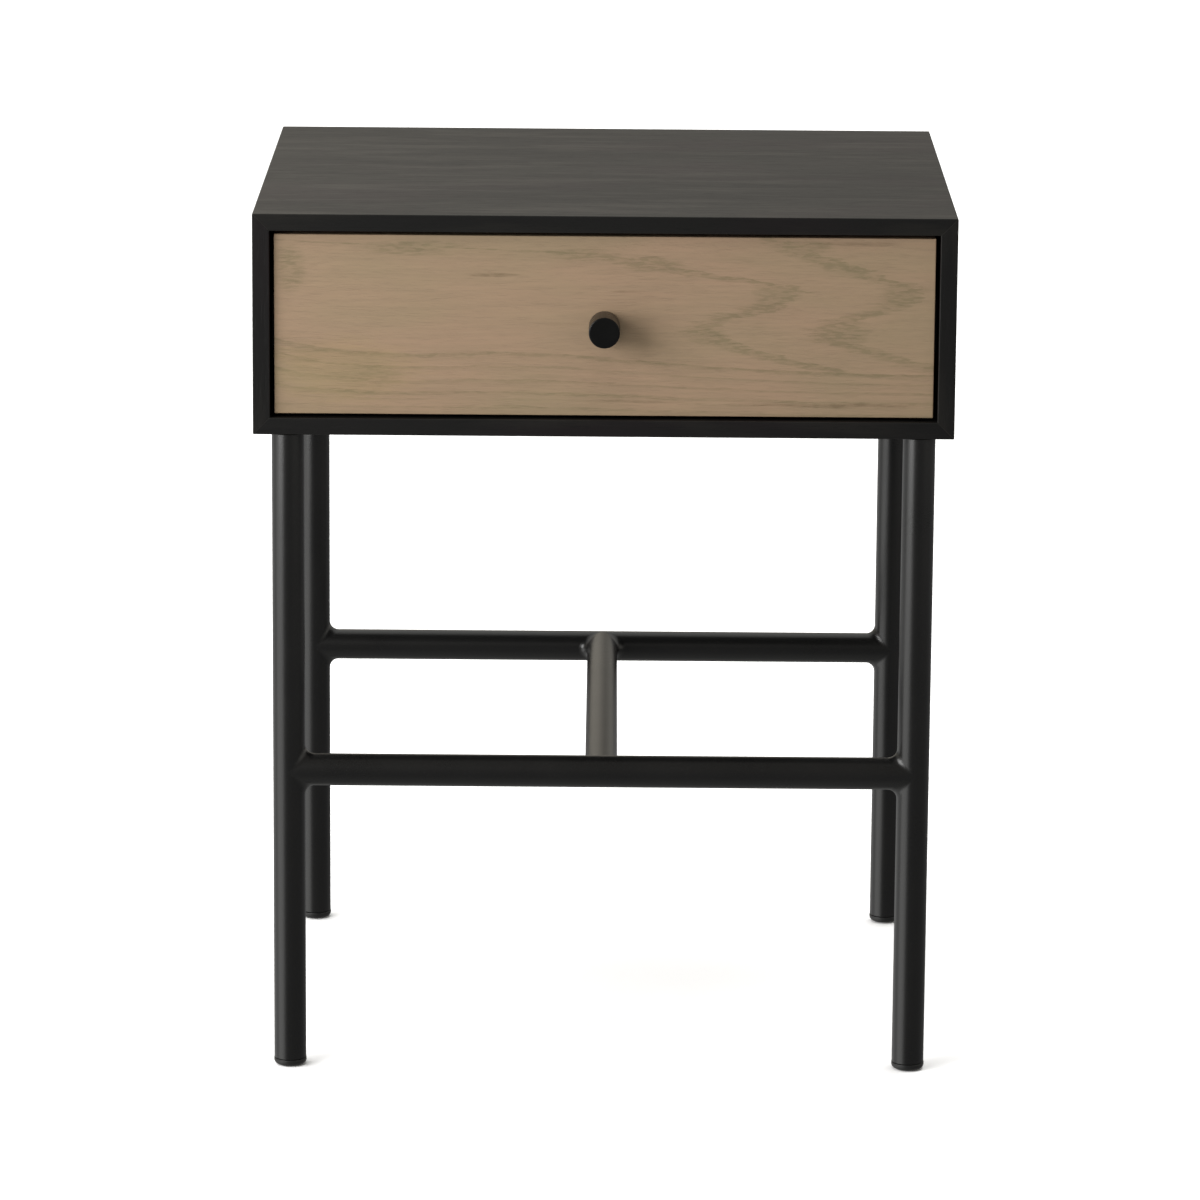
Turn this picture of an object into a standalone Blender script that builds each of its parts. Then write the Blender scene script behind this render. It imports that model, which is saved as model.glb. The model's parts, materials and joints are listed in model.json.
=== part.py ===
"""Side table with one drawer.

A mitred case of black-stained boards stands on a welded frame of black round tube.
An inset oak-fronted drawer runs in it on two telescopic ball slides.
Metres, +Z up. The front faces -Y. The origin is on the floor, under the middle of
the table's outline with its knob.
"""

import math

import bmesh
import bpy
from mathutils import Matrix, Vector

# Whole table
CASE_WIDTH = 0.452
CASE_DEPTH = 0.380
CASE_HEIGHT = 0.1434
TABLE_HEIGHT = 0.568
GAP = 0.0003  # left between pieces that touch

# Case
BOARD = 0.011
BOARD_EDGE = 0.0004  # softened arrises
BACK_THICKNESS = 0.005
BACK_SETBACK = 0.018  # clear of the rear leg bolts
BACK_GROOVE = 0.005

# Tube frame
TUBE_RADIUS = 0.0105
TUBE_WALL = 0.0015
LEG_INSET_X = 0.0225
LEG_INSET_Y = 0.0110
STRETCHER_HEIGHT = 0.200
TUBE_SIDES = 32

# Feet, leg plugs and leg bolts
FOOT_HEIGHT = 0.0045
FOOT_RIM_RADIUS = TUBE_RADIUS + 0.0002
FOOT_RIM_HEIGHT = 0.0014
FOOT_SOLE_RADIUS = 0.0070
FOOT_SPIGOT = 0.010
PLUG_LENGTH = 0.014
PLUG_SIDES = 20
FOOT_SIDES = 24
BOLT_RADIUS = 0.003
BOLT_HEAD_RADIUS = 0.0058
BOLT_HEAD_DEPTH = 0.0030
BOLT_LENGTH = 0.022
BOLT_POINT = 0.0008
HEX_RADIUS = 0.0023
HEX_DEPTH = 0.0020

# Drawer front and knob
FRONT_GAP_SIDE = 0.0033
FRONT_GAP_TOP = 0.0026
FRONT_GAP_BOTTOM = 0.0022
FRONT_THICKNESS = 0.012
FRONT_RECESS = 0.0040
KNOB_RADIUS = 0.010
KNOB_LENGTH = 0.0245
KNOB_EDGE = 0.0007
KNOB_SIDES = 32

# Drawer box
BOX_DEPTH = 0.330
BOX_HEIGHT = 0.090
BOX_LIFT = 0.012  # under the box
BOX_BOARD = 0.012
BOTTOM_THICKNESS = 0.005
BOTTOM_LIFT = 0.008  # from the box's lower edge to the bottom panel
BOTTOM_GROOVE = 0.006

# Telescopic slides
RAIL_LENGTH = 0.300
RAIL_SHEET = 0.0012
RAIL_SPACE = 0.0133  # from case side to drawer side
RAIL_START = 0.018  # behind the drawer box's front
CAGE_SHEET = 0.0006
CAGE_LENGTH = 0.140
CAGE_START = 0.080
BALL_RADIUS = 0.0015
BALLS_IN_ROW = 3
BALL_SPACING = 0.055

# Slide sections, along the middle of the sheet. The web's place and the flanges'
# reach are measured across from the case side, and the flanges' height and the
# folded lip's end from the slide's centre line.
OUTER_RAIL = {"web": 0.0009, "flange": 0.0169, "reach": 0.0090, "lip": 0.0154}
MIDDLE_RAIL = {"web": 0.0033, "flange": 0.0125, "reach": 0.0104, "lip": 0.0112}
INNER_RAIL = {"web": 0.0124, "flange": 0.0081, "reach": 0.0056}
OUTER_CAGE = {"web": 0.0021, "flange": 0.0147, "reach": 0.0076}
INNER_CAGE = {"web": 0.0045, "flange": 0.0103, "reach": 0.0090}
OUTER_BALLS_ACROSS = 0.0055
INNER_BALLS_ACROSS = 0.0075

# Screws
SCREW_SIDES = 16
WOOD_SCREW_RADIUS = 0.0015
WOOD_SCREW_HEAD = 0.0030
WOOD_SCREW_HEAD_DEPTH = 0.0017
WOOD_SCREW_LENGTH = 0.010
WOOD_SCREW_POINT = 0.0025
RAIL_SCREW_PLACES = (0.035, 0.265)  # from the rail's front end
FRONT_SCREW_X = 0.120
FRONT_SCREW_LENGTH = 0.021
KNOB_SCREW_RADIUS = 0.002
KNOB_SCREW_LENGTH = 0.034
PAN_HEAD_RADIUS = 0.004
PAN_HEAD_HEIGHT = 0.0025

# Planes that follow from the sizes above
KNOB_REACH = KNOB_LENGTH + GAP - FRONT_RECESS
FRONT = -(CASE_DEPTH - KNOB_REACH) / 2
REAR = FRONT + CASE_DEPTH
HALF_WIDTH = CASE_WIDTH / 2
CASE_BOTTOM = TABLE_HEIGHT - CASE_HEIGHT
INNER_HALF = HALF_WIDTH - BOARD
FLOOR_TOP = CASE_BOTTOM + BOARD
CEILING = TABLE_HEIGHT - BOARD
LEG_X = HALF_WIDTH - LEG_INSET_X
LEG_FRONT_Y = FRONT + LEG_INSET_Y
LEG_REAR_Y = REAR - LEG_INSET_Y
TUBE_BORE = TUBE_RADIUS - TUBE_WALL
FACE = FRONT + FRONT_RECESS  # the drawer front's outer face
FACE_BOTTOM = FLOOR_TOP + FRONT_GAP_BOTTOM
FACE_TOP = CEILING - FRONT_GAP_TOP
FACE_MIDDLE = (FACE_BOTTOM + FACE_TOP) / 2
BOX_FRONT = FACE + FRONT_THICKNESS + GAP
BOX_REAR = BOX_FRONT + BOX_DEPTH
BOX_HALF = INNER_HALF - RAIL_SPACE
BOX_INNER_HALF = BOX_HALF - BOX_BOARD
BOX_BOTTOM = FLOOR_TOP + BOX_LIFT
BOX_TOP = BOX_BOTTOM + BOX_HEIGHT
BOTTOM_UNDERSIDE = BOX_BOTTOM + BOTTOM_LIFT
RAIL_FRONT = BOX_FRONT + RAIL_START
RAIL_Z = (BOX_BOTTOM + BOX_TOP) / 2

SIDES = (("left", -1), ("right", 1))
ENDS = (("front", LEG_FRONT_Y), ("rear", LEG_REAR_Y))


def clear_scene():
    for obj in list(bpy.data.objects):
        bpy.data.objects.remove(obj)


def new_collection(name):
    collection = bpy.data.collections.new(name)
    bpy.context.scene.collection.children.link(collection)
    return collection


def finish(colour, roughness, metallic=0.0):
    """A surface finish: linear colour, roughness and metallic value."""
    return {"colour": colour, "roughness": roughness, "metallic": metallic}


BLACK_OAK = finish((0.022, 0.020, 0.018), 0.50)
OAK = finish((0.360, 0.240, 0.150), 0.55)
BIRCH = finish((0.560, 0.420, 0.270), 0.60)
BLACK_FIBREBOARD = finish((0.018, 0.017, 0.016), 0.80)
POWDER_COAT = finish((0.013, 0.013, 0.013), 0.38)
KNOB_BLACK = finish((0.010, 0.010, 0.010), 0.45)
FOOT_PLASTIC = finish((0.012, 0.012, 0.012), 0.50)
ZINC_STEEL = finish((0.560, 0.570, 0.580), 0.35, 1.0)
BALL_STEEL = finish((0.680, 0.680, 0.680), 0.20, 1.0)
BLACK_STEEL = finish((0.030, 0.030, 0.030), 0.40, 1.0)


def apply_finish(obj, look):
    """Gives the object a material of its own."""
    material = bpy.data.materials.new(obj.name)
    material.use_nodes = True
    shader = material.node_tree.nodes["Principled BSDF"]
    shader.inputs["Base Color"].default_value = (*look["colour"], 1.0)
    shader.inputs["Roughness"].default_value = look["roughness"]
    shader.inputs["Metallic"].default_value = look["metallic"]
    material.diffuse_color = (*look["colour"], 1.0)
    obj.data.materials.append(material)


def add_object(name, bm, look=None):
    """Links a bmesh as an object: a part with a finish, or a cutter without one."""
    mesh = bpy.data.meshes.new(name)
    bm.to_mesh(mesh)
    bm.free()
    obj = bpy.data.objects.new(name, mesh)
    if look is None:
        cutters.objects.link(obj)
        obj.hide_render = True
        obj.display_type = "WIRE"
    else:
        parts.objects.link(obj)
        apply_finish(obj, look)
    return obj


def box(name, low, high, look=None):
    """A rectangular block between two opposite corners."""
    low = Vector(low)
    high = Vector(high)
    bm = bmesh.new()
    bmesh.ops.create_cube(bm, size=1.0, matrix=Matrix.Diagonal((*(high - low), 1.0)))
    obj = add_object(name, bm, look)
    obj.location = (low + high) / 2
    return obj


def saw(obj, point, normal):
    """Cuts a block flat through a point and drops what lies on the normal's side."""
    local = Vector(point) - obj.location
    bm = bmesh.new()
    bm.from_mesh(obj.data)
    geometry = bm.verts[:] + bm.edges[:] + bm.faces[:]
    cut = bmesh.ops.bisect_plane(
        bm, geom=geometry, plane_co=local, plane_no=Vector(normal), clear_outer=True
    )
    rim = [item for item in cut["geom_cut"] if isinstance(item, bmesh.types.BMEdge)]
    bmesh.ops.edgeloop_fill(bm, edges=rim)
    bmesh.ops.recalc_face_normals(bm, faces=bm.faces[:])
    bm.to_mesh(obj.data)
    bm.free()


def soften(obj, width=BOARD_EDGE):
    """Takes the sharpness off every edge of a board."""
    bevel = obj.modifiers.new("soft_edges", "BEVEL")
    bevel.width = width
    bevel.segments = 1
    bevel.limit_method = "ANGLE"


def combine(obj, other, operation):
    boolean = obj.modifiers.new(other.name, "BOOLEAN")
    boolean.operation = operation
    boolean.solver = "EXACT"
    boolean.object = other


def cut(obj, *others):
    for other in others:
        combine(obj, other, "DIFFERENCE")


def aim(obj, place, direction):
    """Puts the object at a place with its own +Z along the direction."""
    obj.location = place
    obj.rotation_euler = Vector(direction).to_track_quat("Z", "Y").to_euler()


def turned(name, profile, look, sides, closed=False):
    """Turns (radius, height) points, given from the top down, round the object's Z axis."""
    bm = bmesh.new()
    points = [bm.verts.new((radius, 0.0, height)) for radius, height in profile]
    for upper, lower in zip(points, points[1:]):
        bm.edges.new((upper, lower))
    if closed:
        bm.edges.new((points[-1], points[0]))
    obj = add_object(name, bm, look)
    screw = obj.modifiers.new("turning", "SCREW")
    screw.axis = "Z"
    screw.angle = math.tau
    screw.steps = sides
    screw.render_steps = sides
    screw.use_merge_vertices = True
    screw.merge_threshold = 0.00001
    screw.use_smooth_shade = True
    return obj


def rod(name, start, end, radius, sides=TUBE_SIDES):
    """A solid round cutter between two points."""
    start = Vector(start)
    end = Vector(end)
    bm = bmesh.new()
    bmesh.ops.create_cone(
        bm,
        cap_ends=True,
        segments=sides,
        radius1=radius,
        radius2=radius,
        depth=(end - start).length,
    )
    obj = add_object(name, bm)
    aim(obj, (start + end) / 2, end - start)
    return obj


def tube(name, start, end, look):
    """A length of round tube, open at both ends."""
    start = Vector(start)
    end = Vector(end)
    half = (end - start).length / 2
    section = [
        (TUBE_RADIUS, half),
        (TUBE_RADIUS, -half),
        (TUBE_BORE, -half),
        (TUBE_BORE, half),
    ]
    obj = turned(name, section, look, TUBE_SIDES, closed=True)
    aim(obj, (start + end) / 2, end - start)
    return obj


def arc(centre, radii, start, end, steps):
    """Points on an elliptical arc from one angle to another, in degrees."""
    angles = [start + (end - start) * i / steps for i in range(steps + 1)]
    return [
        (
            centre[0] + radii[0] * math.cos(math.radians(angle)),
            centre[1] + radii[1] * math.sin(math.radians(angle)),
        )
        for angle in angles
    ]


# Case


def build_case():
    """Four mitred boards round a back panel that stands in their grooves."""
    top = box(
        "top_panel",
        (-HALF_WIDTH, FRONT, CEILING),
        (HALF_WIDTH, REAR, TABLE_HEIGHT),
        BLACK_OAK,
    )
    bottom = box(
        "bottom_panel",
        (-HALF_WIDTH, FRONT, CASE_BOTTOM),
        (HALF_WIDTH, REAR, FLOOR_TOP),
        BLACK_OAK,
    )
    panels = {"top": top, "bottom": bottom}
    half_gap = GAP / math.sqrt(2)  # along X, for half the gap across the mitre
    for side_name, side in SIDES:
        x_faces = sorted((side * HALF_WIDTH, side * INNER_HALF))
        panel = box(
            side_name + "_side_panel",
            (x_faces[0], FRONT, CASE_BOTTOM),
            (x_faces[1], REAR, TABLE_HEIGHT),
            BLACK_OAK,
        )
        for level, height, rise in (("top", TABLE_HEIGHT, 1), ("bottom", CASE_BOTTOM, -1)):
            corner = Vector((side * HALF_WIDTH, 0.0, height))
            inward = Vector((-side * half_gap, 0.0, 0.0))
            saw(panels[level], corner + inward, (side, 0.0, -rise))
            saw(panel, corner - inward, (-side, 0.0, rise))
        panels[side_name] = panel
    back_low = Vector(
        (
            GAP - INNER_HALF - BACK_GROOVE,
            REAR - BACK_SETBACK - BACK_THICKNESS,
            FLOOR_TOP - BACK_GROOVE + GAP,
        )
    )
    back_high = Vector(
        (INNER_HALF + BACK_GROOVE - GAP, REAR - BACK_SETBACK, CEILING + BACK_GROOVE - GAP)
    )
    box("back_panel", back_low, back_high, BLACK_FIBREBOARD)
    clearance = Vector((GAP, GAP, GAP))
    groove = box("back_groove", back_low - clearance, back_high + clearance)
    for panel in panels.values():
        soften(panel)
        cut(panel, groove)
    return panels


# Tube frame


def build_frame(bottom_panel):
    """Four legs, their plugs, feet and bolts, and three stretchers coped to fit them."""
    leg_cutters = {}
    for side_name, side in SIDES:
        for end_name, y in ENDS:
            corner = end_name + "_" + side_name
            x = side * LEG_X
            build_leg(corner, x, y, bottom_panel)
            leg_cutters[corner] = rod(
                corner + "_cope",
                (x, y, STRETCHER_HEIGHT - 2 * TUBE_RADIUS),
                (x, y, STRETCHER_HEIGHT + 2 * TUBE_RADIUS),
                TUBE_RADIUS + GAP,
            )
    stretcher_cutters = []
    for end_name, y in ENDS:
        stretcher = tube(
            end_name + "_stretcher",
            (-LEG_X, y, STRETCHER_HEIGHT),
            (LEG_X, y, STRETCHER_HEIGHT),
            POWDER_COAT,
        )
        cut(stretcher, leg_cutters[end_name + "_left"], leg_cutters[end_name + "_right"])
        stretcher_cutters.append(
            rod(
                end_name + "_stretcher_cope",
                (-2 * TUBE_RADIUS, y, STRETCHER_HEIGHT),
                (2 * TUBE_RADIUS, y, STRETCHER_HEIGHT),
                TUBE_RADIUS + GAP,
            )
        )
    centre = tube(
        "centre_stretcher",
        (0.0, LEG_FRONT_Y, STRETCHER_HEIGHT),
        (0.0, LEG_REAR_Y, STRETCHER_HEIGHT),
        POWDER_COAT,
    )
    cut(centre, *stretcher_cutters)


def build_leg(corner, x, y, bottom_panel):
    leg_top = CASE_BOTTOM - GAP
    tube(corner + "_leg", (x, y, FOOT_HEIGHT + GAP), (x, y, leg_top), POWDER_COAT)

    plug_radius = TUBE_BORE - GAP
    thread_radius = BOLT_RADIUS + GAP
    plug_profile = [
        (plug_radius, 0.0),
        (plug_radius, -PLUG_LENGTH),
        (thread_radius, -PLUG_LENGTH),
        (thread_radius, 0.0),
    ]
    plug = turned(corner + "_leg_plug", plug_profile, BLACK_STEEL, PLUG_SIDES, closed=True)
    plug.location = (x, y, leg_top)

    foot_profile = [
        (0.0, FOOT_HEIGHT + FOOT_SPIGOT),
        (plug_radius, FOOT_HEIGHT + FOOT_SPIGOT),
        (plug_radius, FOOT_HEIGHT),
        (FOOT_RIM_RADIUS, FOOT_HEIGHT),
    ]
    dome_height = FOOT_HEIGHT - FOOT_RIM_HEIGHT
    dome_width = FOOT_RIM_RADIUS - FOOT_SOLE_RADIUS
    foot_profile += arc((FOOT_SOLE_RADIUS, dome_height), (dome_width, dome_height), 0, -90, 4)
    foot_profile.append((0.0, 0.0))
    foot = turned(corner + "_foot", foot_profile, FOOT_PLASTIC, FOOT_SIDES)
    foot.location = (x, y, 0.0)

    head_top = (x, y, FLOOR_TOP - GAP)
    bolt = countersunk_screw(
        corner + "_leg_bolt",
        (BOLT_HEAD_RADIUS, BOLT_HEAD_DEPTH, BOLT_RADIUS, BOLT_LENGTH, BOLT_POINT),
        BLACK_STEEL,
        head_top,
        (0.0, 0.0, 1.0),
        (bottom_panel,),
    )
    hex_socket = rod(
        corner + "_hex_socket",
        (x, y, FLOOR_TOP - GAP - HEX_DEPTH),
        (x, y, FLOOR_TOP + GAP),
        HEX_RADIUS,
        sides=6,
    )
    cut(bolt, hex_socket)


# Screws


def countersunk_screw(name, sizes, look, place, direction, held_in):
    """A flat-headed screw with its head's top at the place, and the holes that take it."""
    head, head_depth, shank, length, point = sizes
    profile = [
        (0.0, 0.0),
        (head, 0.0),
        (shank, -head_depth),
        (shank, point - length),
        (0.0, -length),
    ]
    screw = turned(name, profile, look, SCREW_SIDES)
    aim(screw, place, direction)
    mouth = 4 * GAP
    hole_profile = [
        (0.0, mouth),
        (head + GAP, mouth),
        (head + GAP, 0.0),
        (shank + GAP, -head_depth),
        (shank + GAP, point - length - GAP),
        (0.0, -length - 2 * GAP),
    ]
    hole = turned(name + "_hole", hole_profile, None, SCREW_SIDES)
    aim(hole, place, direction)
    for piece in held_in:
        cut(piece, hole)
    return screw


def pan_screw(name, shank, length, place, direction, held_in):
    """A domed screw with its head's underside at the place, and its straight hole."""
    profile = [
        (0.0, PAN_HEAD_HEIGHT),
        (PAN_HEAD_RADIUS * 0.7, PAN_HEAD_HEIGHT * 0.85),
        (PAN_HEAD_RADIUS, PAN_HEAD_HEIGHT * 0.35),
        (PAN_HEAD_RADIUS, 0.0),
        (shank, 0.0),
        (shank, -length),
        (0.0, -length),
    ]
    screw = turned(name, profile, ZINC_STEEL, SCREW_SIDES)
    out = Vector(direction)
    aim(screw, Vector(place) + GAP * out, direction)
    start = Vector(place) + PAN_HEAD_HEIGHT * out
    end = Vector(place) - (length + GAP) * out
    hole = rod(name + "_hole", start, end, shank + GAP, SCREW_SIDES)
    for piece in held_in:
        cut(piece, hole)


# Drawer


def build_drawer():
    """The drawer's front, box, bottom, knob and their screws. Returns its two sides."""
    face_half = INNER_HALF - FRONT_GAP_SIDE
    face = box(
        "drawer_front",
        (-face_half, FACE, FACE_BOTTOM),
        (face_half, FACE + FRONT_THICKNESS, FACE_TOP),
        OAK,
    )
    soften(face)

    sides = {}
    for side_name, side in SIDES:
        x_faces = sorted((side * BOX_HALF, side * BOX_INNER_HALF))
        sides[side_name] = box(
            "drawer_" + side_name + "_side",
            (x_faces[0], BOX_FRONT, BOX_BOTTOM),
            (x_faces[1], BOX_REAR, BOX_TOP),
            BIRCH,
        )
    between = BOX_INNER_HALF - GAP
    inner_front = box(
        "drawer_inner_front",
        (-between, BOX_FRONT, BOX_BOTTOM),
        (between, BOX_FRONT + BOX_BOARD, BOX_TOP),
        BIRCH,
    )
    bottom_top = BOTTOM_UNDERSIDE + BOTTOM_THICKNESS
    back = box(
        "drawer_back",
        (-between, BOX_REAR - BOX_BOARD, bottom_top + GAP),
        (between, BOX_REAR, BOX_TOP),
        BIRCH,
    )
    in_groove = BOTTOM_GROOVE - GAP
    bottom_low = Vector(
        (
            -BOX_INNER_HALF - in_groove,
            BOX_FRONT + BOX_BOARD - in_groove,
            BOTTOM_UNDERSIDE,
        )
    )
    bottom_high = Vector((BOX_INNER_HALF + in_groove, BOX_REAR, bottom_top))
    box("drawer_bottom", bottom_low, bottom_high, BIRCH)
    clearance = Vector((GAP, GAP, GAP))
    groove = box("drawer_bottom_groove", bottom_low - clearance, bottom_high + clearance)
    for board in (*sides.values(), inner_front, back):
        soften(board)
    for board in (*sides.values(), inner_front):
        cut(board, groove)

    inside_face = BOX_FRONT + BOX_BOARD
    knob = build_knob()
    pan_screw(
        "knob_screw",
        KNOB_SCREW_RADIUS,
        KNOB_SCREW_LENGTH,
        (0.0, inside_face, FACE_MIDDLE),
        (0.0, 1.0, 0.0),
        (face, inner_front, knob),
    )
    for side_name, side in SIDES:
        pan_screw(
            "front_" + side_name + "_fixing_screw",
            WOOD_SCREW_RADIUS,
            FRONT_SCREW_LENGTH,
            (side * FRONT_SCREW_X, inside_face, FACE_MIDDLE),
            (0.0, 1.0, 0.0),
            (face, inner_front),
        )
    return sides


def build_knob():
    """A plain round knob, standing on the drawer front with its axis along Y."""
    profile = [(0.0, KNOB_LENGTH)]
    rim = (KNOB_RADIUS - KNOB_EDGE, KNOB_LENGTH - KNOB_EDGE)
    profile += arc(rim, (KNOB_EDGE, KNOB_EDGE), 90, 0, 3)
    profile += [(KNOB_RADIUS, 0.0), (0.0, 0.0)]
    knob = turned("knob", profile, KNOB_BLACK, KNOB_SIDES)
    aim(knob, (0.0, FACE - GAP, FACE_MIDDLE), (0.0, -1.0, 0.0))
    return knob


# Slides


def folded_strip(name, path, thickness, look, side, front, length):
    """A strip of sheet metal folded along (distance from the case side, height) points."""
    bm = bmesh.new()
    line = [bm.verts.new((side * (INNER_HALF - across), front, RAIL_Z + up)) for across, up in path]
    edges = [bm.edges.new(pair) for pair in zip(line, line[1:])]
    run = bmesh.ops.extrude_edge_only(bm, edges=edges)
    far = [item for item in run["geom"] if isinstance(item, bmesh.types.BMVert)]
    bmesh.ops.translate(bm, verts=far, vec=(0.0, length, 0.0))
    strip = add_object(name, bm, look)
    solid = strip.modifiers.new("sheet", "SOLIDIFY")
    solid.thickness = thickness
    solid.offset = 0.0
    solid.use_even_offset = True
    return strip


def channel(web, flange, reach, lip=None):
    """The folded path of a channel: its web's place, its flanges' height and reach, and a lip."""
    half = [(web, flange), (reach, flange)]
    if lip is not None:
        half.append((reach, lip))
    return [(across, -up) for across, up in reversed(half)] + half


def build_slide(side_name, side, case_side, drawer_side):
    """Three nested channels and the two ball cages that run between them."""
    rails = {}
    for name, section in (("outer", OUTER_RAIL), ("middle", MIDDLE_RAIL), ("inner", INNER_RAIL)):
        rails[name] = folded_strip(
            side_name + "_" + name + "_rail",
            channel(**section),
            RAIL_SHEET,
            BLACK_STEEL,
            side,
            RAIL_FRONT,
            RAIL_LENGTH,
        )
    build_cage(side_name + "_outer_ball_cage", side, OUTER_CAGE, OUTER_BALLS_ACROSS)
    build_cage(side_name + "_inner_ball_cage", side, INNER_CAGE, INNER_BALLS_ACROSS)

    screw = (
        WOOD_SCREW_HEAD,
        WOOD_SCREW_HEAD_DEPTH,
        WOOD_SCREW_RADIUS,
        WOOD_SCREW_LENGTH,
        WOOD_SCREW_POINT,
    )
    inward = (-side, 0.0, 0.0)
    outward = (side, 0.0, 0.0)
    outer_head = side * (INNER_HALF - OUTER_RAIL["web"] - RAIL_SHEET / 2)
    inner_head = side * (INNER_HALF - INNER_RAIL["web"] + RAIL_SHEET / 2)
    for end_name, place in zip(("front", "rear"), RAIL_SCREW_PLACES):
        y = RAIL_FRONT + place
        label = side_name + "_" + end_name
        countersunk_screw(
            label + "_case_screw",
            screw,
            ZINC_STEEL,
            (outer_head, y, RAIL_Z),
            inward,
            (rails["outer"], case_side),
        )
        countersunk_screw(
            label + "_drawer_screw",
            screw,
            ZINC_STEEL,
            (inner_head, y, RAIL_Z),
            outward,
            (rails["inner"], drawer_side),
        )


def build_cage(name, side, section, balls_across):
    """A folded cage with a row of balls along each flange."""
    front = RAIL_FRONT + CAGE_START
    cage = folded_strip(
        name, channel(**section), CAGE_SHEET, BALL_STEEL, side, front, CAGE_LENGTH
    )
    middle = front + CAGE_LENGTH / 2
    bm = bmesh.new()
    for up in (-section["flange"], section["flange"]):
        for i in range(BALLS_IN_ROW):
            y = middle + (i - (BALLS_IN_ROW - 1) / 2) * BALL_SPACING
            centre = (side * (INNER_HALF - balls_across), y, RAIL_Z + up)
            bmesh.ops.create_uvsphere(
                bm,
                u_segments=8,
                v_segments=4,
                radius=BALL_RADIUS,
                matrix=Matrix.Translation(centre),
            )
    balls = add_object(name + "_balls", bm)
    combine(cage, balls, "UNION")


# Moving bodies


def carry(name, place, members):
    """Parents the members to an empty on the line that they slide along."""
    empty = bpy.data.objects.new(name, None)
    empty.empty_display_size = 0.02
    empty.location = place
    parts.objects.link(empty)
    bpy.context.view_layer.update()
    for member in members:
        obj = bpy.data.objects[member]
        obj.parent = empty
        obj.matrix_parent_inverse = empty.matrix_world.inverted()


def carry_moving_pieces():
    drawer = [
        "drawer_front",
        "drawer_left_side",
        "drawer_right_side",
        "drawer_inner_front",
        "drawer_back",
        "drawer_bottom",
        "knob",
        "knob_screw",
        "front_left_fixing_screw",
        "front_right_fixing_screw",
    ]
    for side_name, side in SIDES:
        drawer.append(side_name + "_inner_rail")
        drawer += [side_name + "_" + end + "_drawer_screw" for end in ("front", "rear")]
        line = (side * (INNER_HALF - RAIL_SPACE / 2), RAIL_FRONT, RAIL_Z)
        for piece in ("middle_rail", "outer_ball_cage", "inner_ball_cage"):
            carry(side_name + "_" + piece + "_travel", line, [side_name + "_" + piece])
    carry("drawer_travel", (0.0, FACE, RAIL_Z), drawer)


clear_scene()
parts = new_collection("side_table")
cutters = new_collection("cutters")
case_panels = build_case()
build_frame(case_panels["bottom"])
drawer_sides = build_drawer()
for rail_side, rail_sign in SIDES:
    build_slide(rail_side, rail_sign, case_panels[rail_side], drawer_sides[rail_side])
carry_moving_pieces()
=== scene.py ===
"""The looks of the side table with a drawer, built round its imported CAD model.

Metres, +Z up, the front faces -Y. Each visible piece is a finer mesh that stands for
one CAD node and rides on that node's body.
"""

import json
import math

import bmesh
import bpy
from mathutils import Matrix, Vector

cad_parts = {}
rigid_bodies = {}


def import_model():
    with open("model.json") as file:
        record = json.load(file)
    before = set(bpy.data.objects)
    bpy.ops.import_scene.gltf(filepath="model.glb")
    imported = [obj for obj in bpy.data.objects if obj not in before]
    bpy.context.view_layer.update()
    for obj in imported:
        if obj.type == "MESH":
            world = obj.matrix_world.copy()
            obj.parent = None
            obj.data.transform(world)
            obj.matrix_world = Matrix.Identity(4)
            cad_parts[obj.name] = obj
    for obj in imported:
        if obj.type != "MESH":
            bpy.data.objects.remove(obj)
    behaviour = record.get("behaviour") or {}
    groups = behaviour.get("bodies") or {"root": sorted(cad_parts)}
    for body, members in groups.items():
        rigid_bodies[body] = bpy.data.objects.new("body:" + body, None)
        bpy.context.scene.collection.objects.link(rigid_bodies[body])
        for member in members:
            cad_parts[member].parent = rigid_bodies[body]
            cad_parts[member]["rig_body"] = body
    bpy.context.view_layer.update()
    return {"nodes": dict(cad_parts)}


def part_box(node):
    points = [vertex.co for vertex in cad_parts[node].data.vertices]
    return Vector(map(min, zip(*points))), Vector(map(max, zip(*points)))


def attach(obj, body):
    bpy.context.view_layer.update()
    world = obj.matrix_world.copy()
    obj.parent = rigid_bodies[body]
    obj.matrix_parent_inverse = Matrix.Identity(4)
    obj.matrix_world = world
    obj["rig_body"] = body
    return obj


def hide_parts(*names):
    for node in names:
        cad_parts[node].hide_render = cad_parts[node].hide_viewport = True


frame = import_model()


def size_of(node):
    low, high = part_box(node)
    return high - low


def middle_of(node):
    low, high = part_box(node)
    return (low + high) / 2


# Sizes that follow from the CAD model

case_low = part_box("bottom_panel")[0]
case_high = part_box("top_panel")[1]
CASE_MIDDLE = (case_low + case_high) / 2
HALF_WIDTH = (case_high.x - case_low.x) / 2
HALF_HEIGHT = (case_high.z - case_low.z) / 2
BOARD = size_of("top_panel").z
FRONT = case_low.y
REAR = case_high.y

TUBE_RADIUS = size_of("front_left_leg").x / 2
LEG_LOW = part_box("front_left_leg")[0].z
LEG_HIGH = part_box("front_left_leg")[1].z
STRETCHER_HEIGHT = middle_of("front_stretcher").z

FACE_MIDDLE = middle_of("drawer_front")
FACE_HALF = size_of("drawer_front") / 2
INSIDE_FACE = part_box("drawer_inner_front")[1].y
RAIL_Z = middle_of("left_outer_rail").z
RAIL_FRONT, RAIL_REAR = (corner.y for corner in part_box("left_outer_rail"))

# Details finer than the CAD model's

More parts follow.
